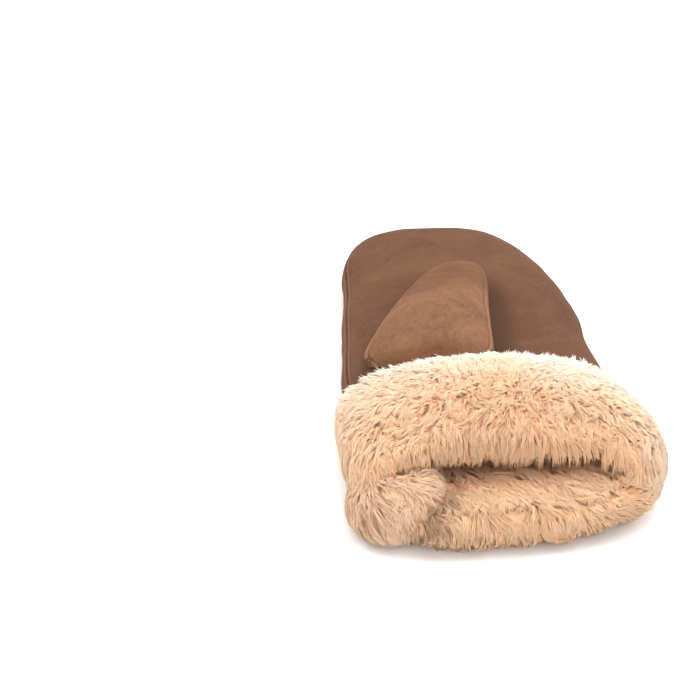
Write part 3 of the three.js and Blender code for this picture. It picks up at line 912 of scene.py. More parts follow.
@dataclass
class Hand:
    """The palm and the back of the hand, two suede panels that meet in a turned seam."""

    form: HandForm
    rows: int = 118
    columns: int = 64
    arc: float = 140.0
    inset: float = 0.002
    seam_radius: float = 1.0
    unevenness: float = 0.45
    waves: tuple[tuple[float, int, float], ...] = ((42.0, 5, 0.7), (17.0, 6, 0.25))
    resting: float = 6.0
    # Painted shade in the crease beside the thumb: its strength, where the thumb's side runs, and how wide
    # and how far along it reaches
    painted_crease_shade: float = 0.9
    crease_side: tuple[float, float] = (9.0, 13.0)
    crease_bend: tuple[float, float] = (10.0, 60.0)
    crease_shift: float = 4.0
    crease_width: tuple[float, float] = (2.0, 12.0)
    crease_end: tuple[float, float] = (62.0, 96.0)
    finish: SuedeFinish = HAND_SUEDE

    def row_places(self) -> Array:
        """The rows that the panels are stepped at, closer at the fingertip's end."""
        last = HAND_SECTIONS.last
        return np.unique(np.concatenate([np.linspace(0, 1, self.rows) * last, last - 1 + np.array(TIP_ROWS)]))

    def outside(self, panel: Panel) -> tuple[Array, Array]:
        """The outside of one panel.

        Args:
            panel: which of the two.

        Returns:
            A grid of points, and the ways out of it.
        """
        row = self.row_places()[:, None]
        seam = self.form.seam_angle * np.minimum((HAND_SECTIONS.last - row) / self.form.seam_fade, 1)
        start, end = (seam, math.pi - seam) if panel is Panel.PALM else (math.pi - seam, TURN + seam)
        angle = blend(start, end, close_shares(self.columns, self.arc, self.inset)[None, :])
        points = self.form.point(row, angle)
        out = self.form.outward(row, angle)
        uneven = sum(ripple(points, wavelength, seed) * weight for wavelength, seed, weight in self.waves)
        rest = fade(0.0, self.resting, points[..., 2])
        return points + out * (uneven * rest * self.unevenness)[..., None], out

    def painted_shade_beside_thumb(self, points: Array) -> Array:
        """How much painted shade darkens the leather in the crease along the thumb's straight side.

        Args:
            points: places on the leather.

        Returns:
            Shares from 0 to 1.
        """
        x, y = points[..., 0], points[..., 1]
        side = blend(*self.crease_side, fade(*self.crease_bend, y))
        near = 1 - fade(*self.crease_width, np.abs(x - side - self.crease_shift))
        return self.painted_crease_shade * (near * (1 - fade(*self.crease_end, y)))

    def build(self, panel: Panel) -> bpy.types.Object:
        """Builds and dresses one panel.

        Args:
            panel: which of the two.

        Returns:
            The finished piece.
        """
        grid = self.outside(panel)
        piece = suede_piece(panel.value, grid, self.seam_radius, self.form.leather, self.painted_shade_beside_thumb)
        piece.data.materials.append(self.finish.material())
        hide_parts(panel.value)
        return piece


@dataclass
class Thumb:
    """The thumb, two suede halves folded over the palm."""

    form: HandForm
    length: float = 92.0
    width: float = 60.0
    thickness: float = 13.0
    clearance: float = 0.8
    roundness: float = 2.3
    wall: float = 1.5
    rows: int = 64
    columns: int = 44
    row_arc: float = 100.0
    arc: float = 62.0
    inset: float = 0.003
    seam_radius: float = 1.3
    # Painted shade towards the tip: its strength, and the shares of the length that it rises over
    painted_tip_shade: float = 0.6
    tip_run: tuple[float, float] = (0.50, 0.70)
    squash: tuple[float, float, float] = (0.35, 1.6, 1.0)
    crease: tuple[float, int, float] = (13.0, 8, 0.22)
    swell: tuple[float, int, float] = (24.0, 9, 0.3)
    crease_inset: float = 9.0
    finish: SuedeFinish = THUMB_SUEDE

    def point(self, row: Array, angle: Array) -> Array:
        """A point of the outside.

        Args:
            row: 0 at the root, 9 at the tip.
            angle: 0 at the right seam, a quarter turn on the crown.

        Returns:
            Points, with x, y and z last.
        """
        read = partial(THUMB_SECTIONS.at, row=row)
        across = signed_power(np.cos(angle), 2 / self.roundness)
        up = signed_power(np.sin(angle), 2 / self.roundness)
        part = (1 - across) / 2
        x = blend(read("right_x"), read("left_x"), part) * self.width
        seam_y = blend(read("right_y"), read("left_y"), part) * self.length
        shift = np.where(up >= 0, -read("lag"), read("lead"))
        y = seam_y + shift * np.abs(up) * self.length
        bulge = np.where(up >= 0, read("crown"), read("belly"))
        raised = (read("seam") + bulge * up) * self.thickness
        return np.stack([x, y, self.form.palm_height(x, y) + self.clearance + raised], axis=-1)

    def creased(self, outer: Array, out: Array) -> Array:
        """Lays soft creases into the upper half, away from its edges.

        Args:
            outer: the outside, rows by columns.
            out: the way out at each point.

        Returns:
            The creased outside.
        """
        *crease, deep = self.crease
        *swell, high = self.swell
        uneven = ripple(outer * np.array(self.squash), *crease) * deep + ripple(outer, *swell) * high
        inland = fade(0.0, self.crease_inset, tucked(outer, out, self.seam_radius, root_too=True)[1])
        return outer + out * (uneven * inland)[..., None]

    def painted_shade_towards_tip(self, points: Array) -> Array:
        """How much painted shade darkens the leather towards the tip."""
        return self.painted_tip_shade * fade(*self.tip_run, points[..., 1] / self.length)

    def build(self, half: Half) -> bpy.types.Object:
        """Builds and dresses one half.

        Args:
            half: which of the two.

        Returns:
            The finished piece.
        """
        start = 0.0 if half is Half.OUTER else math.pi
        row = (close_shares(self.rows, self.row_arc) * THUMB_SECTIONS.last)[:, None]
        angle = start + math.pi * close_shares(self.columns, self.arc, self.inset)[None, :]
        outer = self.point(row, angle)
        out = outward_of(self.point, row, angle, THUMB_SECTIONS.last)
        if half is Half.OUTER:
            outer = self.creased(outer, out)
        piece = suede_piece(half.value, (outer, out), self.seam_radius, self.wall, self.painted_shade_towards_tip)
        piece.data.materials.append(self.finish.material())
        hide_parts(half.value)
        return piece


@dataclass(frozen=True)
class Patch:
    """One area of pile, in places along the skin and degrees round it, and how its locks look."""

    name: str
    low: tuple[float, float]
    high: tuple[float, float]
    spacing: float = 1.75
    hairs: int = 9
    thick: float = 0.48
    spread: float = 0.66
    gather: float = 0.68
    curl: float = 0.8
    # Painted shade: how far the tint of the patch's locks is lowered, on the front, the lip and the fold
    deep: float = 0.0
    seed: int = 1


@dataclass
class Skin:
    """A patch of hide that pile grows on, kept as a fine grid to read places from.

    A place is a pair: how far it is along the skin, and its angle round it.
    """

    points: Array
    normals: Array
    first: float
    last: float

    @classmethod
    def of(cls, points: Array, first: float, last: float, probe: int | slice) -> "Skin":
        """Makes a skin from a grid that goes once round, where the probe's rows show which way is out."""
        return cls(points, facing_out(normals_of_grid(points), points, probe), first, last)

    def read(self, grid: Array, place: Array) -> Array:
        """A grid's values at places, carried on straight past its ends.

        Args:
            grid: the skin's points or normals.
            place: the places.

        Returns:
            The values there.
        """
        rows, columns = grid.shape[0] - 1, grid.shape[1] - 1
        along = (place[..., 0] - self.first) / (self.last - self.first) * rows
        turned = ((place[..., 1] - START_ANGLE) / TURN % 1) * columns
        row = np.clip(np.floor(along).astype(int), 0, rows - 1)
        column = np.minimum(np.floor(turned).astype(int), columns - 1)
        down, over = (along - row)[..., None], (turned - column)[..., None]
        near = blend(grid[row, column], grid[row, column + 1], over)
        far = blend(grid[row + 1, column], grid[row + 1, column + 1], over)
        return blend(near, far, down)

    def at(self, place: Array) -> Array:
        """The skin's points at places."""
        return self.read(self.points, place)

    def per_millimetre(self, place: Array) -> Array:
        """How far a millimetre goes along the skin and round it.

        Args:
            place: the places.

        Returns:
            A pair for each place.
        """
        here = self.at(place)
        moved = [self.at(place + step) - here for step in SKIN_STEP * np.eye(2)]
        sizes = [np.linalg.norm(way, axis=-1) / SKIN_STEP for way in moved]
        return 1 / np.maximum(np.stack(sizes, axis=-1), LEAST_SCALE)

    def spread(self, patch: Patch) -> Array:
        """Places spread evenly over a patch, as far apart as its locks are.

        Args:
            patch: the area, with its spacing.

        Returns:
            Pairs of places along the skin and angles.
        """
        rows = np.linspace(patch.low[0], patch.high[0], SAMPLES)
        columns = np.radians(np.linspace(patch.low[1], patch.high[1], SAMPLES))
        grid = self.at(np.stack(np.meshgrid(rows, columns, indexing="ij"), axis=-1))
        sides = np.cross(np.diff(grid, axis=0)[:, :-1], np.diff(grid, axis=1)[:-1])
        area = np.linalg.norm(sides, axis=-1) + 1e-9
        count = int(area.sum() / patch.spacing**2)
        step = np.arange(count) + 1
        down, over = (
            (0.5 + shift * patch.seed + step * stride) % 1 for shift, stride in zip(SEED_SHIFTS, STRIDES)
        )
        rising = np.concatenate([[0], np.cumsum(area.sum(axis=1))])
        row = np.interp(down, rising / rising[-1], rows)
        slot = np.clip(np.searchsorted(rows, row) - 1, 0, SAMPLES - 2)
        across = np.concatenate([np.zeros((SAMPLES - 1, 1)), np.cumsum(area, axis=1)], axis=1)
        across = across / across[:, -1:]
        column = np.empty(count)
        for number in np.unique(slot):
            chosen = slot == number
            column[chosen] = np.interp(over[chosen], across[number], columns)
        return np.stack([row, column], axis=-1)


@dataclass
class Combing:
    """How locks lie: heading onward and round, length, lift, drop, tangle and pale tips."""

    spots: Array
    values: Array
    reach: Array

    @classmethod
    def of(cls, reach: tuple[float, float], lines: tuple[tuple[float, ...], ...]) -> "Combing":
        """Makes a combing from a table.

        Args:
            reach: how far a line counts, along the skin and in degrees round it.
            lines: a place, its angle in degrees, and its seven values.

        Returns:
            The combing.
        """
        table = np.array(lines, float)
        spots = np.stack([table[:, 0], np.radians(table[:, 1])], axis=-1)
        return cls(spots, table[:, 2:], np.array([reach[0], math.radians(reach[1])]))

    def at(self, place: Array) -> Array:
        """The combing at places, from the nearest stated spots.

        Args:
            place: pairs of places along the skin and angles.

        Returns:
            A row of seven values for each place.
        """
        apart = place[:, None, :] - self.spots[None]
        apart[..., 1] = (apart[..., 1] + math.pi) % TURN - math.pi
        weight = 1 / (np.sum((apart / self.reach) ** 2, axis=-1) ** 1.5 + 0.02)
        return (weight @ self.values) / weight.sum(axis=1, keepdims=True)


def faces_of_thread(rings: int) -> Array:
    """The faces of one closed thread.

    Args:
        rings: how many rings of points it has before its tip.

    Returns:
        Point numbers, three for each face.
    """
    faces = [(0, 2, 1)]
    for ring in range(rings):
        for corner in range(SIDES):
            low, high = ring * SIDES, ring * SIDES + SIDES
            beside = (corner + 1) % SIDES
            if ring < rings - 1:
                faces.append((low + corner, low + beside, high + beside))
                faces.append((low + corner, high + beside, high + corner))
            else:
                faces.append((low + corner, low + beside, high))
    return np.array(faces)


@dataclass
class Pile:
    """Hairs grown on a skin, gathered into locks."""

    skin: Skin
    combing: Combing
    finish: bpy.types.Material
    steps: int = 3
    softness: float = 0.72
    upward: float = 0.18
    lock_sizes: tuple[float, float] = (0.72, 1.22)
    hair_sizes: tuple[float, float] = (0.76, 1.1)
    curls: tuple[float, float] = (0.3, 1.4)
    rises: tuple[float, float] = (0.8, 1.2)
    widths: tuple[float, float] = (0.75, 1.2)
    uneven_rise: float = 0.5
    stray: float = 0.07
    tangle_length: float = 11.0
    tangle_seed: int = 40
    tangle_height: float = 1.2
    tangle_chance: float = 0.22
    turn_chance: float = 0.1
    lock_tint: float = 0.6
    hair_tint: float = 0.4
    slot: str = "fur_cuff"
    keep_out: Callable[[Array], Array] | None = None
    # Painted shadow that lowers the locks' tint
    shadow: Callable[[Array], Array] | None = None

    def grow(self, patch: Patch) -> bpy.types.Object:
        """Grows one patch of pile as a single mesh.

        Args:
            patch: the area and its look.

        Returns:
            The finished piece.
        """
        chance = np.random.default_rng(patch.seed)
        roots = self.skin.spread(patch)
        if self.keep_out:
            roots = roots[self.keep_out(self.skin.at(roots)) > KEPT_OUT]
        locks = len(roots)
        lock = np.repeat(np.arange(locks), patch.hairs)
        combed = self.combing.at(roots)
        path, out = self.lines(patch, roots, combed, chance)
        of_lock = self.lock_tint * chance.uniform(0, 1, locks)[lock]
        # A patch's deep lowers the tint as painted shade
        tint = of_lock + self.hair_tint * chance.uniform(0, 1, len(lock)) - patch.deep
        # Painted shadow: locks in the crease at the fold's right are tinted darker
        if self.shadow:
            tint = tint - self.shadow(self.skin.at(roots))[lock]
        return self.thread(patch, (path, out), {"tint": tint, "pale": combed[lock, -1]}, chance)

    def headings(self, roots: Array, combed: Array, seed: int, chance: np.random.Generator) -> Array:
        """The way that each lock lies, tangled a little.

        Args:
            roots: the locks' places.
            combed: the combing at them.
            seed: picks the pattern of the tangles.
            chance: the source of chance.

        Returns:
            How far onward and how far round each heads.
        """
        onward, sideways, tangle = combed[:, 0], combed[:, 1], combed[:, 5]
        locks = len(roots)
        waves = ripple(self.skin.at(roots), self.tangle_length, seed + self.tangle_seed) * self.tangle_height
        swirl = tangle * (waves + chance.normal(0, self.tangle_chance, locks))
        swirl = swirl + chance.normal(0, self.turn_chance, locks)
        turned_on = onward * np.cos(swirl) - sideways * np.sin(swirl)
        turned_side = onward * np.sin(swirl) + sideways * np.cos(swirl)
        return np.stack([turned_on, turned_side], axis=-1)

    def lines(
        self, patch: Patch, roots: Array, combed: Array, chance: np.random.Generator
    ) -> tuple[Array, Array]:
        """Draws the line of each hair.

        Args:
            patch: the area and its look.
            roots: the locks' places.
            combed: the combing at them.
            chance: the source of chance.

        Returns:
            Points along each hair, and the skin's way out at them.
        """
        locks, count = len(roots), len(roots) * patch.hairs
        lock = np.repeat(np.arange(locks), patch.hairs)
        length, lift, drop = combed[:, 2:5].T
        heading = self.headings(roots, combed, patch.seed, chance)[lock]
        size = length * chance.uniform(*self.lock_sizes, locks)
        away = chance.normal(0, patch.spread, (count, 2))
        reach = size[lock] * chance.uniform(*self.hair_sizes, count)
        curl = patch.curl * chance.uniform(*self.curls, locks)
        phase = chance.uniform(0, TURN, locks)
        rise = lift * chance.uniform(*self.rises, locks)
        own_rise = chance.normal(0, self.uneven_rise, count)
        heading = heading + chance.normal(0, self.stray, (count, 2))
        beside = np.stack([-heading[:, 1], heading[:, 0]], axis=-1)
        scale = self.skin.per_millimetre(roots)[lock]
        centres, ways = [], []
        for share in (number / (self.steps - 1) for number in range(self.steps)):
            gathered = 1 - patch.gather * share**0.7
            wave = curl[lock] * share * np.sin(phase[lock] + share * CURL_TURN)
            flat = away * gathered + heading * (reach * share)[:, None] + beside * wave[:, None]
            place = roots[lock] + flat * scale
            out = unit(self.skin.read(self.skin.normals, place))
            height = rise[lock] * math.sin(share * RISE_TURN) + own_rise * share
            centre = self.skin.at(place) + out * height[:, None]
            centre[:, 2] = np.maximum(centre[:, 2] - drop[lock] * share**1.5, PATH_FLOOR)
            centres.append(centre)
            ways.append(out)
        return np.stack(centres, axis=1), np.stack(ways, axis=1)

    def thread(
        self, patch: Patch, lines: tuple[Array, Array], looks: dict[str, Array], chance: np.random.Generator
    ) -> bpy.types.Object:
        """Turns the hairs' lines into tapered three-sided threads.

        Args:
            patch: the area they belong to.
            lines: points along each hair, and the skin's way out at them, which they are shaded by too.
            looks: how light each hair is, and how cream its tip is.
            chance: the source of chance.

        Returns:
            The piece.
        """
        path, out = lines
        count, steps = path.shape[:2]
        along = unit(np.gradient(path, axis=1))
        side = unit(np.cross(along, unit(chance.normal(size=(count, 1, 3)))))
        other = np.cross(along, side)
        share = np.linspace(0, 1, steps)
        width = patch.thick / 2 * (1 - share**1.7)[None, :] * chance.uniform(*self.widths, count)[:, None]
        rings, ways = [], []
        for turn in (corner * TURN / SIDES for corner in range(SIDES)):
            away = side * math.cos(turn) + other * math.sin(turn)
            rings.append(path + away * width[..., None])
            ways.append(unit(away * (1 - self.softness) + out * self.softness))
        body = np.stack(rings, axis=2)[:, :-1].reshape(count, -1, 3)
        shaded = np.stack(ways, axis=2)[:, :-1].reshape(count, -1, 3)
        tip_way = unit(out[:, -1:] + np.array([0, 0, self.upward]))
        points = np.concatenate([body, path[:, -1:]], axis=1)
        points[..., 2] = np.maximum(points[..., 2], THREAD_FLOOR)
        each = points.shape[1]
        faces = (np.arange(count) * each)[:, None, None] + faces_of_thread(steps - 1)[None]
        run = np.concatenate([np.repeat(share[:-1], SIDES), [1.0]])
        notes = {"along": np.tile(run, (count, 1))}
        notes |= {name: np.repeat(look[:, None], each, axis=1) for name, look in looks.items()}
        ways = np.concatenate([shaded, tip_way], axis=1)
        piece = make_piece(patch.name, points, faces.reshape(-1, 3), notes, ways)
        piece.data.materials.append(self.finish)
        return piece


# Each line: place, angle, onward, round, length, lift, drop, tangle, pale
CUFF_COMBING = (
    (0.2, 90, -1.0, 0.0, 7, 2.6, 0, 0.2, 1.8),
    (0.2, 50, -0.8, -0.3, 6.5, 1.6, 0, 0.2, 1.6),
    (0.2, 20, -0.2, -0.6, 8, 0.7, 0, 0.2, 1.2),
    (0.2, 150, -0.7, 0.5, 6, 2.0, 0, 0.2, 1.0),
    (0.2, 190, -0.6, 0.4, 6, 1.2, 0, 0.2, 0.4),
    (1.2, 90, -0.9, 0.0, 12, 3.0, 0, 0.3, 1.6),
    (1.2, 150, -0.3, 0.8, 10, 2.0, 0, 0.3, 0.8),
    (1.2, 190, 0.0, 0.9, 9, 1.4, 0, 0.3, 0.3),
    (1.2, 50, -0.5, -0.7, 10, 1.6, 0, 0.3, 1.4),
    (1.2, 20, -0.1, -0.8, 9, 0.7, 0, 0.3, 1.1),
    (2.6, 90, -0.2, 0.1, 9, 2.8, 0, 0.8, 0.45),
    (2.6, 60, 0.0, -0.8, 10, 2.4, 0, 0.5, 0.75),
    (2.6, 125, 0.1, 0.9, 11, 3.0, 0, 0.5, 0.3),
    (2.6, 175, 0.1, 0.9, 12, 3.2, 0, 0.4, 0.25),
    (2.6, 15, 0.1, -0.8, 10, 1.4, 0, 0.4, 0.8),
    (4.0, 90, 0.5, 0.2, 8, 3.6, 1, 1.5, 0.0),
    (4.0, 50, 0.5, -0.7, 9, 3.2, 1, 1.0, 0.1),
    (4.0, 130, 0.5, 0.7, 9, 3.4, 1, 1.1, 0.0),
    (4.0, 175, 0.4, 0.7, 12, 3.4, 1, 0.5, 0.1),
    (4.0, 0, 0.2, -0.8, 11, 3.2, 1, 0.5, 0.7),
    (5.4, 90, 0.6, 0.3, 8, 3.4, 2, 1.3, 0.0),
    (5.4, 50, 0.6, -0.5, 9, 3.2, 3, 1.0, 0.0),
    (5.4, 175, 0.7, 0.6, 11, 3.0, 2, 0.5, 0.0),
    (5.4, 0, 0.4, -0.7, 10, 3.0, 2, 0.5, 0.5),
    (6.6, 150, 0.5, 0.2, 9, 3.0, 5, 0.9, 0.0),
    (6.6, 106, 0.5, 0.1, 8, 3.2, 4, 1.0, 0.0),
    (6.6, 75, 0.5, -0.2, 9, 3.2, 8, 0.9, 0.0),
    (6.6, 35, 0.5, -0.3, 9, 3.2, 9, 0.9, 0.0),
    (8.0, 90, 0.5, 0.0, 7, 2.4, 3, 0.4, 0.0),
    (9.0, 90, 1.0, 0.0, 7, 1.6, 0, 0.4, 0.0),
    (1.0, 270, 0.8, 0.0, 9, 1.0, 0, 0.3, 0.0),
    (4.0, 270, -0.4, 0.0, 8, 1.4, 0, 0.3, 0.0),
    (5.2, 230, -0.5, -0.5, 14, 10, 1, 0.35, 0.25),
    (5.2, 270, -0.5, 0.1, 15, 11, 1, 0.35, 0.2),
    (5.2, 305, -0.4, 0.5, 12, 4.5, 1, 0.35, 0.25),
    (6.4, 270, -0.9, 0.1, 16, 7.0, 0, 0.35, 0.15),
    (6.4, 225, -0.8, -0.5, 15, 7.0, 0, 0.35, 0.15),
    (6.4, 320, -0.8, 0.5, 14, 6.0, 0, 0.35, 0.15),
    (7.4, 270, -1.0, 0.15, 17, 5.0, 0, 0.35, 0.05),
    (7.4, 225, -0.9, -0.3, 15, 5.0, 0, 0.35, 0.05),
    (7.4, 320, -0.9, 0.4, 14, 4.4, 0, 0.35, 0.05),
    (8.4, 270, -1.0, 0.2, 15, 3.4, 0, 0.35, 0.0),
    (8.6, 330, -0.9, 0.5, 11, 2.8, 0, 0.4, 0.0),
    (9.4, 270, -1.0, 0.25, 13, 2.8, 0, 0.4, 0.0),
    (11.5, 270, -1.0, 0.25, 12, 2.8, 0, 0.5, 0.0),
    (11.0, 90, -0.5, 0.0, 6, 1.4, 0, 0.5, 0.0),
)
FOLD_COMBING = (
    (0.9, 0, -0.6, -0.3, 11, 4.2, 1, 0.4, 0.2),
    (0.9, 90, -0.3, -0.9, 11, 4.2, 1, 0.4, 0.2),
    (0.9, 180, -0.4, 0.6, 11, 4.2, 1, 0.4, 0.2),
    (0.9, 270, -0.9, 0.3, 11, 4.4, 1, 0.4, 0.2),
    (0.2, 0, -0.9, -0.2, 12, 4.2, 2, 0.35, 0.2),
    (0.2, 180, -0.8, 0.5, 12, 4.6, 2, 0.35, 0.2),
    (0.2, 270, -1.0, 0.2, 12, 5.0, 2, 0.35, 0.2),
    (-0.5, 180, -0.6, 0.4, 11, 3.4, 1, 0.35, 0.1),
    (-0.5, 270, -0.6, 0.2, 11, 3.4, 1, 0.35, 0.1),
)
CUFF_PATCHES = (
    Patch("cuff_pile_rear", (0.25, -16), (1.9, 196), hairs=12, thick=0.58, gather=0.4, seed=11),
    Patch("cuff_pile_crown_left", (1.9, 90), (3.9, 196), hairs=12, thick=0.58, gather=0.4, seed=12),
    Patch("cuff_pile_crown_right", (1.9, -16), (3.9, 90), hairs=12, thick=0.58, gather=0.4, seed=13),
    Patch("cuff_pile_front", (3.9, -16), (7.2, 196), hairs=10, gather=0.5, curl=1.4, deep=0.15, seed=14),
    Patch("cuff_pile_mouth_top", (7.2, 0), (9.6, 180), 3.2, 9, seed=15),
    Patch("cuff_pile_lip", (5.0, 196), (10.0, 270), deep=0.3, seed=16),
    Patch("cuff_pile_lip_right", (5.0, 270), (10.0, 360), deep=0.25, seed=17),
    Patch("cuff_pile_side_left", (0.25, 196), (5.0, 232), 2.6, 10, seed=18),
    Patch("cuff_pile_side_right", (0.25, 308), (5.0, 344), 2.6, 10, seed=19),
)
LINING_PATCHES = (
    Patch("lining_pile_low", (10.0, 185), (12.4, 355), 2.4, 11, seed=41),
    Patch("lining_pile_high", (10.0, -5), (11.5, 185), 4.0, 7, seed=42),
)
FOLD_PATCH = Patch("fold_pile", (-0.8, -90), (1.5, 270), deep=0.35, seed=31)


@dataclass
class Cuff:
    """The deep-pile cuff, turned back over the wrist, with the fold at its left end."""

    form: HandForm
    pile: float = 17.0
    turn_back: float = 44.0
    sharpness: float = 3.0
    lining_start: float = 0.5
    lining_pile: float = 8.0
    sunk: float = 3.2
    least_sunk: float = 0.12
    lip_ring: float = 6.5
    lip_sunk: float = 0.55
    lump: float = 0.5
    rear_step: float = 0.075
    rear_lift: float = 0.8
    rear_pale: float = 0.25
    rings: int = 73
    columns: int = 241
    comb_reach: tuple[float, float] = (1.0, 30)
    finish: FurFinish = CUFF_PILE

    def depth(self, ring: Array, angle: Array) -> Array:
        """The pile's depth.

        Args:
            ring: 0 at the rear edge, 9 inside the mouth.
            angle: 0 on the right side, a quarter turn on the palm's.

        Returns:
            The depths there.
        """
        read = partial(CUFF_RINGS.at, row=ring)
        across, up = np.cos(angle), np.sin(angle)
        side = np.where(across >= 0, read("right"), read("left"))
        level = np.where(up >= 0, read("top"), read("under"))
        return (side * np.abs(across) ** self.sharpness + level * np.abs(up) ** self.sharpness) * self.pile

    def point(self, ring: Array, angle: Array) -> Array:
        """A point of the cuff's outside.

        Args:
            ring: 0 at the rear edge, 9 inside the mouth.
            angle: 0 on the right side, a quarter turn on the palm's.

        Returns:
            Points, with x, y and z last.
        """
        ring, angle = np.broadcast_arrays(ring, angle)
        ahead = CUFF_RINGS.at("ahead", ring)
        row = np.maximum(-ahead, 0) * self.form.wrist_row
        outward = self.form.outward(row, angle)
        outward[..., 1] = 0
        points = self.form.point(row, angle) + unit(outward) * self.depth(ring, angle)[..., None]
        points[..., 1] -= np.maximum(ahead, 0) * self.turn_back
        points[..., 2] = np.maximum(points[..., 2], 0)
        return points

    def rear(self, place: Array, angle: Array) -> Array:
        """The leather that the rear locks lie over: place falls below 0 along it."""
        row = self.form.wrist_row * (1 - place * self.rear_step)
        return self.form.moved(row, angle, self.rear_lift)

    def outside(self, ring: Array, angle: Array) -> Array:
        """The hide's outside under the pile: the cuff's outside, sunk, with soft lumps.

        Args:
            ring: 0 at the rear edge, 9 inside the mouth.
            angle: 0 on the right side, a quarter turn on the palm's.

        Returns:
            A grid of points.
        """
        points = self.point(ring, angle)
        out = facing_out(normals_of_grid(points), points, len(points) // 3)
        share = np.clip(self.depth(ring, angle) / (2 * self.sunk), self.least_sunk, 1)
        share = np.where(ring > self.lip_ring, np.maximum(share, self.lip_sunk), share)
        lumps = self.lump * ripple(points, 15.0, 21)
        return points - out * (self.sunk * share + lumps * share)[..., None]

    def backing(self, hide: Array, angle: Array) -> bpy.types.Object:
        """The hide as a closed ring round the leather, under the pile.

        Args:
            hide: the hide's outside.
            angle: the angles of its columns.

        Returns:
            The finished piece.
        """
        form = self.form
        inwards = -form.leather - form.gap
        tail = [
            form.inside(self.lining_start, angle, self.lining_pile),
            form.moved(self.lining_start, angle, inwards),
            form.moved(0.0, angle, inwards),
            form.moved(0.0, angle, inwards, form.gap),
            form.moved(0.0, angle, form.gap, form.gap),
            *(form.moved(row, angle, form.gap) for row in np.linspace(0, form.wrist_row, 7)),
        ]
        points = np.concatenate([hide, np.concatenate(tail)])[:, :-1]
        points[..., 2] = np.maximum(points[..., 2], HIDE_FLOOR)
        faces = turned_out(points, faces_of_grid(*points.shape[:2], rows_closed=True))
        pale = np.zeros(points.shape[:2])
        pale[: len(hide)] = 1 - fade(0.0, self.rear_pale, np.linspace(0, 1, len(hide)))[:, None]
        piece = make_piece("cuff_hide", points, faces, hide_notes(pale))
        piece.data.materials.append(self.finish.material())
        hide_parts("fur_cuff")
        return piece

    def skin(self, hide: Array, angle: Array, lining: "Lining") -> Skin:
        """The skin that all the locks grow on: rear edge below 0, rings to 9, the mouth's inside to 14.

        Args:
            hide: the hide's outside, ring 0 to 9.
            angle: the angles of its columns.
            lining: the sleeve that goes on inside.

        Returns:
            The skin.
        """
        steps = (self.rings - 1) // CUFF_RINGS.last
        before = np.linspace(REAR_END, 0, int(-REAR_END * steps) + 1)[:-1, None]
        inner = np.linspace(INNER_START, INNER_END, (INNER_END - INNER_START) * steps + 1)[:, None]
        sleeve = lining.ring(lining.first_row + (inner - INNER_START) * SLEEVE_ROWS, angle, lining.sunk)
        joint = np.linspace(0, 1, steps + 1)[1:-1, None, None]
        bridge = hide[-1][None] * (1 - joint) + sleeve[0][None] * joint
        points = np.concatenate([self.rear(before, angle), hide, bridge, sleeve])
        return Skin.of(points, REAR_END, INNER_END, len(before) + len(hide) // 3)

    def build(self, lining: "Lining", fold: "Fold") -> list[bpy.types.Object]:
        """Builds the hide and its pile.

        Args:
            lining: the sleeve inside the mouth, whose pile goes on from the cuff's.
            fold: the fold that lies on the cuff's left end, where no other locks grow.

        Returns:
            All the cuff's pieces, and the lining's pile.
        """
        ring = np.linspace(0, CUFF_RINGS.last, self.rings)[:, None]
        angle = once_round(self.columns)
        hide = self.outside(ring, angle)
        pieces = [self.backing(hide, angle)]
        skin = self.skin(hide, angle, lining)
        grown = partial(Pile, skin, Combing.of(self.comb_reach, CUFF_COMBING))
        outer = grown(self.finish.material(), keep_out=fold.share, shadow=fold.shadow)
        looks = lining.finish.material()
        inner = grown(looks, slot="fur_lining", keep_out=fold.share, shadow=fold.shadow)
        pieces += [outer.grow(patch) for patch in CUFF_PATCHES]
        return pieces + [inner.grow(patch) for patch in LINING_PATCHES]


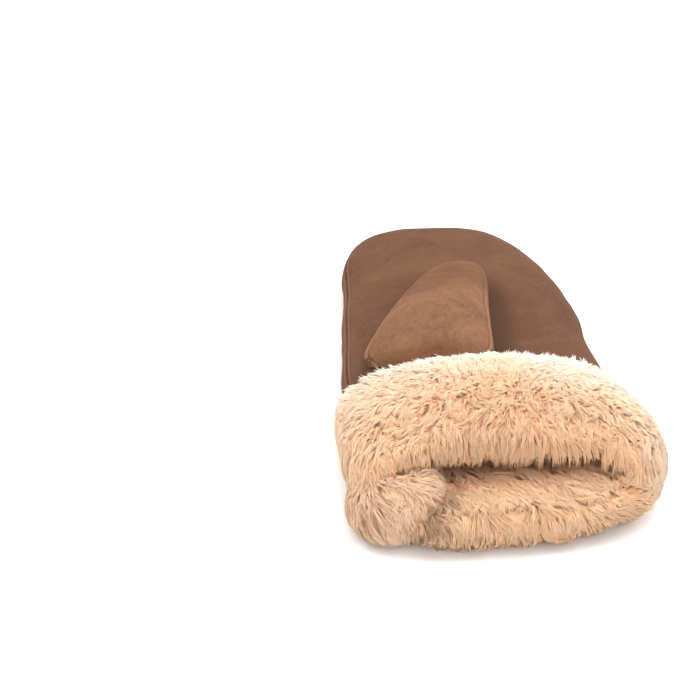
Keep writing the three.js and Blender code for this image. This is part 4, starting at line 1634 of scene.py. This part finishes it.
@dataclass
class Fold:
    """The fold that the cuff's left end makes over the mouth."""

    form: HandForm
    width: float = 48.0
    length: float = 40.0
    height: float = 33.0
    turn: float = math.radians(38)
    middle: tuple[float, float, float] = (-0.36, -0.37, 0.33)
    poles: float = 0.02
    sunk: float = 3.0
    # Painted shadow in the crease at the fold's right: its strength on the cuff's pile and on the fold's own,
    # and where it reaches
    shade: float = 1.8
    own_shade: float = 1.3
    crease_near: tuple[float, float] = (0.95, 1.3)
    crease_right: tuple[float, float] = (2.0, 12.0)
    own_right: tuple[float, float] = (12.0, 21.0)
    rows: int = 40
    columns: int = 81
    comb_reach: tuple[float, float] = (0.6, 50)
    finish: FurFinish = CUFF_PILE

    @property
    def place(self) -> Array:
        """The fold's middle."""
        return np.array(self.middle) * [self.form.width, self.form.length, self.form.thickness]

    @property
    def size(self) -> Array:
        """Half its width, length and height."""
        return np.array([self.width, self.length, self.height]) / 2

    def share(self, points: Array) -> Array:
        """How far points are from the fold's middle.

        Args:
            points: the points.

        Returns:
            Shares of its size, where 1 is on its outside.
        """
        away = points - self.place
        cos, sin = math.cos(self.turn), math.sin(self.turn)
        turned = np.stack([away[:, 0] * cos + away[:, 1] * sin, away[:, 1] * cos - away[:, 0] * sin], axis=-1)
        return np.linalg.norm(np.concatenate([turned, away[:, 2:]], axis=-1) / self.size, axis=-1)

    def shadow(self, points: Array) -> Array:
        """How much painted shadow darkens pile at points in the crease at the fold's right."""
        near = 1 - fade(*self.crease_near, self.share(points))
        return self.shade * near * fade(*self.crease_right, points[:, 0] - self.place[0])

    def own_shadow(self, points: Array) -> Array:
        """How much painted shadow darkens the fold's own pile on its right, in that crease."""
        return self.own_shade * fade(*self.own_right, points[:, 0] - self.place[0])

    def point(self, up: Array, around: Array) -> Array:
        """A point of the fold's skin, sunk below its outside.

        Args:
            up: the angle above its middle's level.
            around: the angle round it.

        Returns:
            Points, with x, y and z last.
        """
        size = self.size - self.sunk
        level = np.cos(up)
        x = size[0] * level * np.cos(around)
        y = size[1] * level * np.sin(around)
        z = size[2] * np.sin(up) + 0 * x
        cos, sin = math.cos(self.turn), math.sin(self.turn)
        points = np.stack([x * cos - y * sin, x * sin + y * cos, z], axis=-1) + self.place
        points[..., 2] = np.maximum(points[..., 2], HIDE_FLOOR)
        return points

    def build(self) -> list[bpy.types.Object]:
        """Builds the fold's hide and pile.

        Returns:
            Its pieces.
        """
        tilt = math.pi / 2 - self.poles
        up = np.linspace(-tilt, tilt, self.rows)[:, None]
        around = once_round(self.columns)
        grid = self.point(up, around)
        points, faces = capped(grid[:, :-1])
        backing = make_piece("fold_hide", points, faces, hide_notes(np.zeros(len(points))))
        material = self.finish.material()
        backing.data.materials.append(material)
        skin = Skin.of(grid, -tilt, tilt, slice(None))
        pile = Pile(skin, Combing.of(self.comb_reach, FOLD_COMBING), material, shadow=self.own_shadow)
        return [backing, pile.grow(FOLD_PATCH)]


@dataclass
class Lining:
    """The short pile inside the mouth."""

    form: HandForm
    start: float = 0.5
    end: float = 5.0
    setback: float = 0.06
    pile: float = 8.0
    thinning: float = 0.6
    sunk: float = 2.4
    rows: int = 28
    columns: int = 121
    tint: float = 0.3
    finish: FurFinish = LINING_PILE

    @property
    def first_row(self) -> float:
        """The row that the sleeve starts at."""
        return self.start + self.setback

    def ring(self, row: Array, angle: Array, less: float) -> Array:
        """A ring of the sleeve's inside at a row of the hand's form, sunk towards the leather."""
        share = np.clip((row - 1) / (self.end - 1), 0, 1)
        return self.form.inside(row, angle, self.pile * blend(1.0, self.thinning, share) - less)

    def build(self) -> bpy.types.Object:
        """Builds the sleeve that the short pile grows on.

        Returns:
            The finished piece.
        """
        angle = once_round(self.columns)
        row = np.linspace(self.first_row, self.end, self.rows)[:, None]
        inside = self.ring(row, angle, self.sunk)
        outside = self.form.moved(row, angle, -self.form.leather - self.form.gap)
        points = np.concatenate([outside, inside[::-1]])[:, :-1]
        faces = turned_out(points, faces_of_grid(*points.shape[:2], rows_closed=True))
        notes = hide_notes(np.zeros(points.shape[:2]), self.tint)
        sleeve = make_piece("lining_hide", points, faces, notes)
        sleeve.data.materials.append(self.finish.material())
        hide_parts("fur_lining")
        return sleeve


def aimed(name: str, data: bpy.types.ID, place: Vector, target: Vector) -> bpy.types.Object:
    """Hangs a lamp or the camera so that it looks at a point.

    Args:
        name: the object's name.
        data: the lamp or the lens.
        place: where it hangs, in metres.
        target: the point that it looks at, in metres.

    Returns:
        The object.
    """
    hung = bpy.data.objects.new(name, data)
    hung.location = place
    hung.rotation_mode = "QUATERNION"
    hung.rotation_quaternion = (target - place).to_track_quat("-Z", "Y")
    bpy.context.scene.collection.objects.link(hung)
    return hung


@dataclass(frozen=True)
class Lamp:
    """A soft lamp that looks at the mitten: where it hangs and its side in metres, and its watts."""

    name: str
    place: tuple[float, float, float]
    size: float
    power: float

    def hang(self) -> None:
        """Hangs the lamp."""
        light = bpy.data.lights.new(self.name, "AREA")
        light.size = self.size
        light.energy = self.power
        aimed(self.name, light, Vector(self.place), Vector())


@dataclass
class Studio:
    """The camera, the pale sweep and the soft lights."""

    target: tuple[float, float, float] = (-55.4, 38.5, 0.0)
    eye: tuple[float, float, float] = (-126.9, -704.2, 503.3)
    focal_share: float = 1800 / 700
    sensor: float = 36.0
    clip: tuple[float, float] = (0.01, 20)
    sweep_half: float = 4.0
    lamps: tuple[Lamp, ...] = (
        Lamp("left_softbox", (-0.8, 0.35, 0.85), 0.6, 4.5),
        Lamp("right_softbox", (0.9, 0.2, 0.7), 0.6, 3.5),
        Lamp("top_softbox", (0.1, 0.1, 1.1), 0.9, 7.0),
        Lamp("front_softbox", (0.2, -0.75, 0.5), 0.6, 0.8),
    )

    def camera(self) -> None:
        """Places the camera where the photograph was taken from."""
        lens = bpy.data.cameras.new("camera")
        lens.sensor_width = self.sensor
        lens.lens = self.sensor * self.focal_share
        lens.clip_start, lens.clip_end = self.clip
        eye, target = Vector(self.eye) * METRES, Vector(self.target) * METRES
        bpy.context.scene.camera = aimed("camera", lens, eye, target)

    def floor(self) -> None:
        """Lays the sweep that the mitten rests on."""
        half = self.sweep_half
        mesh = bpy.data.meshes.new("sweep")
        corners = [(-half, -half, 0), (half, -half, 0), (half, half, 0), (-half, half, 0)]
        mesh.from_pydata(corners, [], [(0, 1, 2, 3)])
        mesh.materials.append(SWEEP.material())
        sweep = bpy.data.objects.new("sweep", mesh)
        bpy.context.scene.collection.objects.link(sweep)
        sweep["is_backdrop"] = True

    def build(self) -> None:
        """Sets up the whole studio."""
        self.camera()
        self.floor()
        for lamp in self.lamps:
            lamp.hang()
        world = bpy.data.worlds.new("studio")
        world.use_nodes = True
        backdrop = world.node_tree.nodes["Background"]
        backdrop.inputs["Color"].default_value = (1.0, 1.0, 1.0, 1)
        backdrop.inputs["Strength"].default_value = 1.0
        bpy.context.scene.world = world
        bpy.context.scene.view_settings.view_transform = "Standard"


def triangles(piece: bpy.types.Object) -> int:
    """How many triangles a piece has."""
    return sum(len(face.vertices) - 2 for face in piece.data.polygons)


def corners(box: tuple[Vector, Vector]) -> list[list[float]]:
    """A box's two corners as plain lists."""
    return [[float(value) for value in corner] for corner in box]


def main() -> None:
    """Builds the mitten piece by piece over its CAD model."""
    logging.basicConfig(level=logging.INFO, format="%(message)s")
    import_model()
    cad_box = corners(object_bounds())
    Studio().build()
    form = HandForm()
    hand = Hand(form)
    thumb = Thumb(form)
    pieces = [hand.build(panel) for panel in Panel]
    pieces += [thumb.build(half) for half in Half]
    lining = Lining(form)
    pieces.append(lining.build())
    fold = Fold(form)
    pieces += Cuff(form).build(lining, fold)
    pieces += fold.build()
    for piece in pieces:
        LOG.info("%s: %d triangles", piece.name, triangles(piece))
    {"cad": cad_box, "visual": corners(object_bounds())}


if __name__ == "__main__":
    main()
